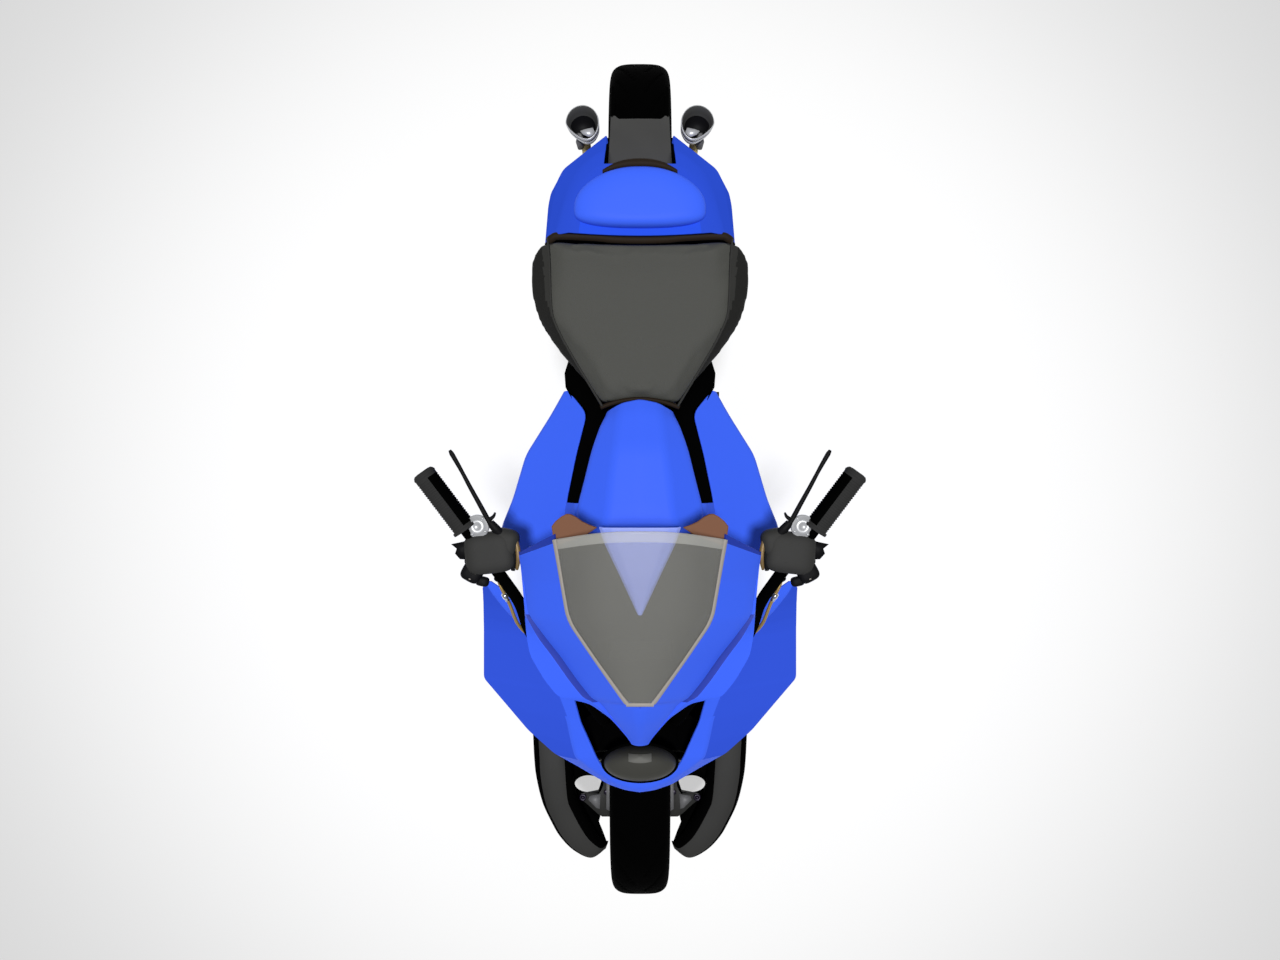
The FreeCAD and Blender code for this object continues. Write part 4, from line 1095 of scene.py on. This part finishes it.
# ---------------------------------------------------------------- controls
BAR = [(66, -474, 704), (70, -458, 812), (106, -406, 830), (197, -298, 846), (221, -230, 869),
       (246, -184, 894), (300, -108, 908), (384, 10, 930)]
GRIP_FROM, GRIP_TO = np.array(BAR[-2], float), np.array(BAR[-1], float)
ALONG_GRIP = (GRIP_TO - GRIP_FROM) / np.linalg.norm(GRIP_TO - GRIP_FROM)
HOSE = [(264, -168, 878), (256, -196, 876), (242, -228, 866), (229, -266, 854),
        (212, -290, 838), (186, -314, 824), (150, -352, 818), (110, -400, 812), (80, -446, 816)]


def make_bars():
    """Bars, ribbed grips with a flange and black painted shade along their inner side, end weights.
    """
    pair("clip_on_bars", [tube(BAR, 11, 20, count=90)], BLACK_PLASTIC, STEERING,
         "black_metal", "handlebars")
    start = GRIP_FROM + ALONG_GRIP * 24
    length = np.linalg.norm(GRIP_TO - start)
    s = np.linspace(0, length, 150)
    r = 20.6 + 0.55 * np.sign(np.sin(s * 2 * np.pi / 4.6)) * ((s > 10) & (s < length - 10))
    r = np.where(s < 5, 23.5, np.where(s > length - 4, 21.4, r))
    profile = np.concatenate([[(0, 11.4)], np.column_stack([s, r]), [(length, 11.4)]])
    points, faces = lathe(profile, start, ALONG_GRIP, 36)
    away = points[faces].mean(axis=1) - start
    along = away @ ALONG_GRIP
    # Painted shade: faces on each grip's inner side take the near-black plastic
    inner = away @ np.array([-0.815, 0.580, 0.0]) > 5.5
    shade_stripe = inner & (along > 9) & (along < length - 8)
    pair("ribbed_grips", [(points, faces)], [RUBBER, BLACK_PLASTIC], STEERING, "rubber",
         "grips", which=shade_stripe)
    weight = [(0, 0), (0, 20.8), (2.6, 20.0), (5.6, 17.0), (6.6, 11), (6.6, 4), (4.8, 3.4),
              (4.8, 0)]
    pair("bar_end_weights", [lathe(weight, GRIP_TO - ALONG_GRIP * 0.5, ALONG_GRIP, 32)],
         RUBBER, STEERING, "black_metal")


def make_controls():
    """Levers, housings with their pods, reservoir caps, clamps and hoses."""
    lever = [(268, -79, 919), (285, -46, 923), (303, -12, 927), (320, 21, 930), (338, 53, 932)]
    width = np.interp(np.linspace(0, 1, 60), [0, 0.12, 0.7, 0.93, 1], [5.5, 4.6, 3.6, 4.4, 2.6])
    pivots = [tube([(268, -76, 919), (258, -88, 917), (244, -104, 912)], [6.5, 8.5, 7.5], 16,
                   0.8, 24),
              tube([(268, -70, 921), (262, -65, 921), (259, -58, 920)], [4.0, 3.0, 1.6], 12,
                   0.8, 16)]
    housing = [cushion_block((271, -131, 903), (45, 38, 21), -0.12, 0.5, 24, 44),
               cushion_block((244, -113, 904), (25, 26, 18), 0.2, 0.6, 16, 28)]
    pods = [cushion_block((303, -166, 900), (19, 19, 14), 0.5, 0.55, 16, 28),
            cushion_block((286, -184, 896), (12, 9, 10), 0.2, 0.6, 12, 20),
            cushion_block((310, -140, 906), (6, 12, 6), 0.1, 0.5, 10, 18),
            cushion_block((252, -180, 890), (14, 8, 9), 0.3, 0.6, 12, 20),
            plate([(304, -106), (322, -112), (341, -116), (331, -124), (334, -133), (325, -143),
                   (306, -144)], 896, 906),
            plate([(296, -104), (304, -100), (313, -110), (306, -116)], 898, 905)]
    # Painted highlights: two tiny cream dots on the switch pod stand for its glints
    glint_dots = [cushion_block((306, -178, 912.5), (2.4, 1.4, 1.2), 0.4, 0.9, 6, 10),
               cushion_block((296, -168, 914.2), (1.8, 1.2, 1.2), 0.9, 0.9, 6, 10)]
    # Cap over the master cylinder, in steps, with four screws
    at, tilt = np.array([291.0, -83.0, 911.0]), (0.05, -0.05, 1.0)
    cap = [lathe([(0, 0), (0, 20), (5, 21.4), (8, 21.4), (9.8, 19.5), (9.8, 15), (12, 14),
                  (12, 6), (10.8, 5), (10.8, 0)], at, tilt, 40)]
    cap += [lathe([(0, 0), (0, 3), (3, 2.6), (3, 0)], at + (dx, dy, 9.0), tilt, 8)
            for dx, dy in ((14, 9), (-14, -9), (9, -14), (-9, 14))]
    crescent = np.array([(240, -92, 910), (228, -102, 912), (221, -120, 913), (219, -140, 912),
                         (222, -162, 908)])
    nut = [(-3, 0), (-3, 5.6), (6, 5.6), (7, 4.4), (13, 4.2), (13, 3.2)]
    nuts = [lathe(nut, at, np.array(to, float) - np.array(at, float), 12)
            for at, to in ((HOSE[0], HOSE[1]), ((250, -212, 871), (246, -220, 868.5)))]
    for name, parts, material, slot, node in (
            ("lever_blades", [tube(lever, width, 14, 0.72, 60)], BLACK_METAL, "black_metal",
             "levers"),
            ("lever_pivots", pivots, BLACK_METAL, "black_metal", ()),
            ("housing_shells", housing, DARK_PLASTIC, "dark_plastic", "control_housings"),
            ("switch_pods", pods, BLACK_METAL, "black_metal", ()),
            ("switch_pod_glints", glint_dots, CREAM, "chrome", ()),
            ("reservoir_caps", cap, SILVER, "chrome", ()),
            ("lever_clamps", [tube(crescent, [2.4, 5.2, 5.2, 5.2, 2.4], 12, 0.7, 40)],
             OLD_GOLD, "gold_alloy", ()),
            ("clamp_edges", [tube(crescent + (7, -1, 1), 4.0, 10, 0.8, 30)], BLACK_METAL,
             "black_metal", ()),
            ("hose_lines", [tube(HOSE, 3.3, 12, count=80)], GOLD, "gold_alloy", "brake_hoses"),
            ("hose_fittings", nuts, CHROME, "chrome", ())):
        pair(name, parts, material, STEERING, slot, node)


# ---------------------------------------------------------------- lamp, guards and mudguard
def lamp_height(x, y):
    """Height of the lamp dome over a plan point, from the share of its half ellipse there."""
    across, along, lean = x / 70, (y + 526) / 35, 20 / 35
    rest = 1 - lean ** 2
    share = (along * lean + np.sqrt((along * lean) ** 2 + rest * (across ** 2 + along ** 2))) / rest
    return 792 + 48 * np.sqrt(1 - share ** 2.5) + 0.10 * (y + 546) * share


def make_headlamp():
    """Lamp dome: half ellipses over a rim, a paler pane on it that is a painted highlight, the
    stays from the lamp to the cowl, and the instrument panel behind the screen's rear edge."""
    a = np.linspace(0, 2 * np.pi, 64, endpoint=False)[None, :]
    t = np.linspace(0, 1, 22)[:, None]
    soft = np.cos(t * np.pi / 2) ** 0.8
    x = 70 * soft * np.cos(a)
    y = -546 + 35 * soft * np.sin(a) + 20 * (1 - soft)
    z = 792 + 48 * np.sin(t * np.pi / 2) + 0.10 * (y + 546) * soft
    piece("headlamp_dome", *sheet(np.stack([x, y, z], -1), (0, -548, 780), True), LAMP_BODY,
          CHASSIS, "lamp", "headlamp", merge=0.2)
    # Painted highlight: a paler pane that follows the dome
    x = np.linspace(-22, 22, 25)
    pane = bowed(x, -3.0 * (1 - (x / 22) ** 2),
                 ((-516.5, 0, 0), (-519, 0.2, 0), (-523, 0.6, 0), (-529, 1.0, 0)))
    pane[:, :, 2] = lamp_height(pane[:, :, 0], pane[:, :, 1]) + 2.4
    item = piece("headlamp_highlight_pane", *sheet(pane, (0, -548, 780)), LAMP_HIGHLIGHT, CHASSIS, "lamp")
    crisp(walled(item, 2.4), 0.6)
    a = np.linspace(0, 2 * np.pi, 80)
    ring = np.column_stack([72 * np.cos(a), -546 + 37 * np.sin(a), 793 + 0 * a])
    piece("headlamp_rim", *tube(ring, 3.2, 10), BLACK_PLASTIC, CHASSIS, "dark_plastic")
    stay = [(10, -511, 786), (10, -502, 815), (9, -484, 856), (8, -467, 887)]
    pair("cowl_stays", [tube(stay, [4.5, 4.5, 4.2, 3.0], 12, count=30)], BLACK_PLASTIC, CHASSIS,
         "dark_plastic")
    face = bowed(np.linspace(-56, 56, 20), 0,
                 ((-319, 0, 928.0), (-300, 0, 928.6), (-279, 0, 954), (-284, 0, 964)))
    item = piece("instrument_panel", *sheet(face, (0, -320, 950)), BLACK_PLASTIC, CHASSIS,
                 "dark_plastic", "instrument")
    crisp(walled(item, 6.0), 1.0)


# Guard: outer x, y, inner x, y, centre z, half height
GUARD = [(258, -600, 178, -600, 372, 20), (255, -666, 170, -665, 370, 25),
         (250, -714, 163, -700, 368, 27), (236, -775, 154, -757, 364, 28),
         (215, -824, 140, -792, 360, 28), (193, -863, 118, -835, 357, 27),
         (160, -897, 104, -859, 354, 25), (119, -916, 86, -879, 352, 19),
         (84, -896, 77, -878, 352, 7)]
GUARD_RINGS, GUARD_SIDES = 84, 32
# Rear mudguard plate: y, half width, z
MUDGUARD = [(590, 70, 666), (640, 68, 657), (700, 65, 645), (745, 63, 635), (764, 62, 631)]


def make_guards():
    """Guards: rings across a curved centre line, black painted shade on the inner wall and along
    the outer edge, and the brackets to the fork feet with their bolts."""
    rows = flowing(np.array(GUARD, float), GUARD_RINGS)
    outer, inner = rows[:, 0:2], rows[:, 2:4]
    middle, arm = (outer + inner) / 2, (outer - inner) / 2
    a = np.linspace(0, 2 * np.pi, GUARD_SIDES, endpoint=False)
    # Towards the rear end the upper points shift to the inner wall, so that the painted shade there
    # looks narrower from above.
    thin = 0.42 * np.clip((34 - np.arange(GUARD_RINGS)) / 24, 0, 1)[:, None]
    a = a[None] + thin * (np.sin(a) ** 2 * (a < np.pi))[None]
    xy = middle[:, None] + arm[:, None] * squared(np.cos(a), 0.75)[:, :, None]
    z = rows[:, 4:5] + rows[:, 5:6] * squared(np.sin(a), 0.75)
    grid = np.concatenate([xy, z[..., None]], axis=-1)
    first, last = (drawn_in(end, end.mean(axis=1, keepdims=True), 0.02)
                   for end in (grid[:1], grid[-1:]))
    grid = np.concatenate([first, grid, last])
    row, column = np.divmod(np.arange((len(grid) - 1) * GUARD_SIDES), GUARD_SIDES)
    # Painted shade: faces of the inner wall and of the outer edge take the near-black plastic
    shaded_walls = (column >= 10) & (column <= 21) & (row > 8)
    pair("wheel_guard_horns", [sheet(grid, grid.mean(axis=1)[row], True)],
         [DARK_PLASTIC, BLACK_PLASTIC], STEERING, "dark_plastic", "wheel_guards", merge=0.05,
         which=shaded_walls | (column <= 3) | (column >= 30))
    a = np.linspace(0, 2 * np.pi, 48, endpoint=False)
    c, s = squared(np.cos(a), 0.7), squared(np.sin(a), 0.7)
    hole = np.column_stack([126 + 34 * np.cos(a), -745 + 21.5 * np.sin(a)])
    rim = np.column_stack([128 + 54 * c, -734 + 52 * s - 6 * (s < 0)])
    brace = [(170, -762), (158, -763), (127, -791), (97, -823), (101, -839), (92, -861), (80, -893)]
    along = [(170, -762), (166, -786), (152, -820), (138, -848), (120, -874), (104, -888),
             (80, -893)]
    pair("guard_webs", [framed_plate(hole, rim, 330, 337),
                        framed_plate(brace, along, 329, 336, False)],
         BLACK_PLASTIC, STEERING, "dark_plastic")
    shape = [(71, -712), (88, -716), (90, -745), (95, -757), (127, -763), (145, -767),
             (147, -775), (128, -790), (104, -812), (92, -820), (71, -820)]
    pair("guard_brackets", [plate(shape, 338, 349)], DARK_PLASTIC, STEERING, "dark_plastic")
    rib = [(96, -764), (122, -768), (126, -778), (106, -798), (98, -800)]
    fin = [(72, -716), (82, -716), (82, -800), (72, -806)]
    pair("bracket_ribs", [plate(rib, 349, 352), plate(fin, 349, 353)], BRACKET_GREY, STEERING,
         "dark_plastic")
    large = [(0, 0), (0, 9), (3, 9), (4.5, 7), (4.5, 4), (2.5, 3.6), (2.5, 0)]
    small = [(0, 0), (0, 7), (3, 7), (4, 5), (4, 0)]
    pair("bracket_bolts", [lathe(large, (139, -772, 350), (0, 0, 1), 24),
                           lathe(small, (82, -760, 348), (0, 0, 1), 6)], BOLT_VIOLET, STEERING,
         "steel")


def make_mudguard():
    """Rear plate with bowed edges, thin arms beside the tyre, and the ribbed tail lamp."""
    lines = []
    for y, half, z in MUDGUARD:
        x = np.linspace(-half, half, 41)
        crown = 3.0 * (1 - (x / half) ** 2)
        lines.append(np.column_stack([x, np.full(41, float(y)), z + crown]))
    grid = flowing(np.array(lines), 30)
    share = np.clip((grid[:, :, 1] - 742) / 22, 0, 1)
    edge = np.clip((np.abs(grid[:, :, 0]) - 42) / 10, 0, 1)
    grid[:, :, 1] += share * 7 * edge ** 2
    item = piece("mudguard_plate", *sheet(grid, (0, 660, 500)), GRAPHITE, CHASSIS,
                 "dark_plastic", "rear_mudguard")
    crisp(walled(item, 4.6), 1.0)
    arm = np.array([[(53.5, y, z), (54.5, y, z + 2), (61, y, z + 2), (62, y, z)]
                    for y, z in ((768, 630), (790, 625), (822, 611), (842, 602), (846, 600))])
    item = pair("mudguard_arms", [sheet(arm, (58, 790, 560))], BLACK_PLASTIC, CHASSIS,
                "dark_plastic")
    crisp(walled(item, 3.0), 0.6)
    lens = bowed(np.linspace(-56, 56, 57), 0, [(622, 0, z) for z in np.linspace(722, 774, 27)])
    lens[:, :, 1] -= 9 * (np.abs(lens[:, :, 0]) / 56) ** 2.2
    lens[:, :, 1] += 0.8 * np.abs(np.sin(lens[:, :, 2] * np.pi / 6.5))
    piece("tail_lamp_lens", *sheet(lens, (0, 560, 750)), RED_LENS, CHASSIS, "red_lens",
          "tail_light")


# ---------------------------------------------------------------- silencers
OUTLET = np.array([120.0, 742.0, 668.0])
OUTLET_AXIS = np.array([0.06, 0.40, 0.915]) / np.linalg.norm([0.06, 0.40, 0.915])
OUTLET_BACK = np.array([0.0, 0.92, -0.40])
OUTLET_SIDES = 48
STEM = [(122, 610, 592), (113, 664, 588), (113, 694, 592), (115, 712, 606), (117, 726, 628)]


def slanted(profile):
    """A turned part of the outlet: sheared near its mouth, so that the mouth leans forward,
    and drawn to a blunt point in front."""
    points, faces = lathe(profile, OUTLET, OUTLET_AXIS, OUTLET_SIDES)
    arm = points - OUTLET
    near = np.clip((arm @ OUTLET_AXIS + 40) / 40, 0, 1)
    points = points + (0.36 * (arm @ OUTLET_BACK) * near)[:, None] * OUTLET_AXIS
    front = np.clip((OUTLET[1] - points[:, 1]) / 45, 0, 1)
    points[:, 0] += (OUTLET[0] - points[:, 0]) * 0.38 * front ** 1.5 - 14 * front ** 1.3
    return points, faces


def make_outlets():
    """Flared outlets: a graphite throat, a bright lip and collar with a dark line between,
    a small silver plate in front that is a painted highlight, a gold stem and a grey strap to the
    can."""
    throat = [(0.6, 33.4), (-0.4, 31.2), (-8, 29.0), (-14, 26.5)]
    depth = [(-14, 26.6), (-24, 23), (-32, 16), (-33, 0)]
    lip = [(0.6, 33.2), (0.8, 34.2), (-1.5, 35.0), (-8, 34.6), (-9, 33.4)]
    line = [(-9, 33.6), (-9.4, 32.6), (-11.6, 32.4), (-12, 33.4)]
    collar = [(-12, 33.2), (-13, 34.2), (-20, 33.4), (-25, 31.4), (-27, 28.5), (-30, 24)]
    neck = [(-26, 28.6), (-34, 23), (-42, 15), (-46, 11)]
    # Painted highlight: the small silver plate in front of the mouth
    glint_plate = [(124, 724), (113, 728), (98, 731), (94, 722), (96, 714), (107, 712), (118, 717)]
    strap = tube([(126, 706, 620), (127, 712, 638), (124, 726, 650)], [6.5, 8.5, 6.5], 12, 0.6)
    for name, parts, material, slot, node in (
            ("throats", [slanted(throat)], GRAPHITE, "black_metal", "muffler_outlets"),
            ("depths", [slanted(depth)], BLACK_METAL, "black_metal", ()),
            ("grooves", [slanted(line)], BLACK_PLASTIC, "black_metal", ()),
            ("lips", [slanted(lip), slanted(collar), plate(glint_plate, 666, 668.5)], SILVER,
             "chrome", ()),
            ("necks", [slanted(neck)], GRAPHITE, "black_metal", ()),
            ("stems", [tube(STEM, [10, 10, 10, 10, 11], 20, count=60)], STEM_GOLD,
             "gold_alloy", ()),
            ("straps", [strap], BRACKET_GREY, "black_metal", ())):
        pair(f"outlet_{name}", parts, material, CHASSIS, slot, node)


# Cockpit tray, as panel stations
TRAY = [(-98, 0, 925, 144, 925, 149, 985), (-116, 0, 925, 142, 925, 147, 990),
        (-239, 0, 925, 122, 925, 127, 966), (-315, 0, 925, 80, 925, 84, 946),
        (-400, 0, 925, 30, 925, 34, 932)]


def make_cockpit():
    """Black tray under the screen, copper corner trims, black covers beside the tank and
    shields over the fork sliders."""
    panel("cockpit_tray", station_lines(TRAY), BLACK_PLASTIC, CHASSIS, "cockpit_liner",
          (0, -250, 700), radius=4, mirror=True, thickness=3, slot="dark_plastic")
    trim = [(72, -80), (84, -76), (97, -70), (108, -62), (117, -57.5), (124, -57), (132, -61),
            (142, -69), (149, -78), (147, -92), (145, -108), (142, -112), (110, -100), (90, -92)]
    crisp(pair("corner_trims", [plate(trim, 1003, 1016)], COPPER, CHASSIS, "copper",
               "cockpit_trim"), 1.6)
    cover = [(46, -84), (46, 100), (52, 140), (70, 152), (96, 190), (126, 240), (142, 238),
             (150, 212), (148, 184), (104, 136), (126, 51), (144, -36), (150, -84)]
    pair("frame_cover_plates", [plate(cover, 734, 746)], BLACK_PLASTIC, CHASSIS, "black_metal",
         "frame_covers")
    shield = [(88, -470), (150, -470), (158, -510), (150, -545), (118, -548), (88, -520)]
    pair("fork_shields", [plate(shield, 556, 560)], BLACK_PLASTIC, STEERING, "dark_plastic")


for make in (make_side_fairings, make_wings, make_upper_cowl, make_tank, make_tail,
             make_screen, make_cockpit, make_seat, make_wheels, make_chain, make_bars,
             make_controls, make_headlamp, make_guards, make_mudguard, make_outlets):
    make()


# ---------------------------------------------------------------- camera, light and floor
PICTURE = (1280, 960)
CAMERA_HEIGHT = 2.5
SKY_STRENGTH, LAMP_STRENGTH, LAMP_SPREAD = 0.2, 2.85, math.radians(8)
FLOOR_REACH = 12.0
FLOOR_FADE = (0.9, 2.5, 1.0, 0.66)  # near and far distance, and the tone's share there
FOCAL_SHARE = 883 / PICTURE[0]


def make_camera():
    """Camera straight above the floor's origin."""
    data = bpy.data.cameras.new("camera")
    data.sensor_width = 36.0
    data.lens = data.sensor_width * FOCAL_SHARE
    item = placed("camera", data)
    item.location = (0, 0, CAMERA_HEIGHT)
    bpy.context.scene.camera = item


def make_floor():
    """Pale floor as one large sheet, bent up at no edge because the view is from above."""
    corners = np.array([(-1, -1, 0), (1, -1, 0), (1, 1, 0), (-1, 1, 0)]) * FLOOR_REACH
    data = bpy.data.meshes.new("floor")
    data.from_pydata(corners.tolist(), [], [(0, 1, 2, 3)])
    item = placed("floor", data)
    paint = finish_material("floor paint", (0.47, 0.47, 0.47), 0.9, 0.02, 0.01, 1.0,
                            Specular_IOR_Level=0.1, Emission_Strength=1.08)
    tree = paint.node_tree
    where = tree.nodes.new("ShaderNodeTexCoord").outputs["Object"]
    away = tree.nodes.new("ShaderNodeVectorMath")
    away.operation = "LENGTH"
    fall = tree.nodes.new("ShaderNodeMapRange")
    fall.interpolation_type = "SMOOTHSTEP"
    for label, value in zip(("From Min", "From Max", "To Min", "To Max"), FLOOR_FADE):
        fall.inputs[label].default_value = value
    tint = tree.nodes.new("ShaderNodeMix")
    tint.data_type, tint.blend_type = "RGBA", "MULTIPLY"
    tint.inputs["Factor"].default_value = 1.0
    smudge = [node for node in tree.nodes if node.type == "GROUP"][0]
    shader = tree.nodes["Principled BSDF"]
    wire_up(tree, (where, away.inputs[0]), (away.outputs["Value"], fall.inputs["Value"]),
            (smudge.outputs["Colour"], tint.inputs[6]), (fall.outputs["Result"], tint.inputs[7]),
            (tint.outputs[2], shader.inputs["Base Color"]),
            (tint.outputs[2], shader.inputs["Emission Color"]))
    data.materials.append(paint)


def make_light():
    """Faint white sky with one broad soft lamp far overhead."""
    world = bpy.data.worlds.new("studio")
    bpy.context.scene.world = world
    world.use_nodes = True
    sky = world.node_tree.nodes["Background"]
    sky.inputs["Color"].default_value = (1, 1, 1, 1)
    sky.inputs["Strength"].default_value = SKY_STRENGTH
    lamp = bpy.data.lights.new("overhead", "SUN")
    lamp.energy, lamp.angle = LAMP_STRENGTH, LAMP_SPREAD
    placed("overhead", lamp).location = (0, 0, 5.0)


make_camera()
make_floor()
make_light()
bpy.context.scene.view_settings.view_transform = "Standard"
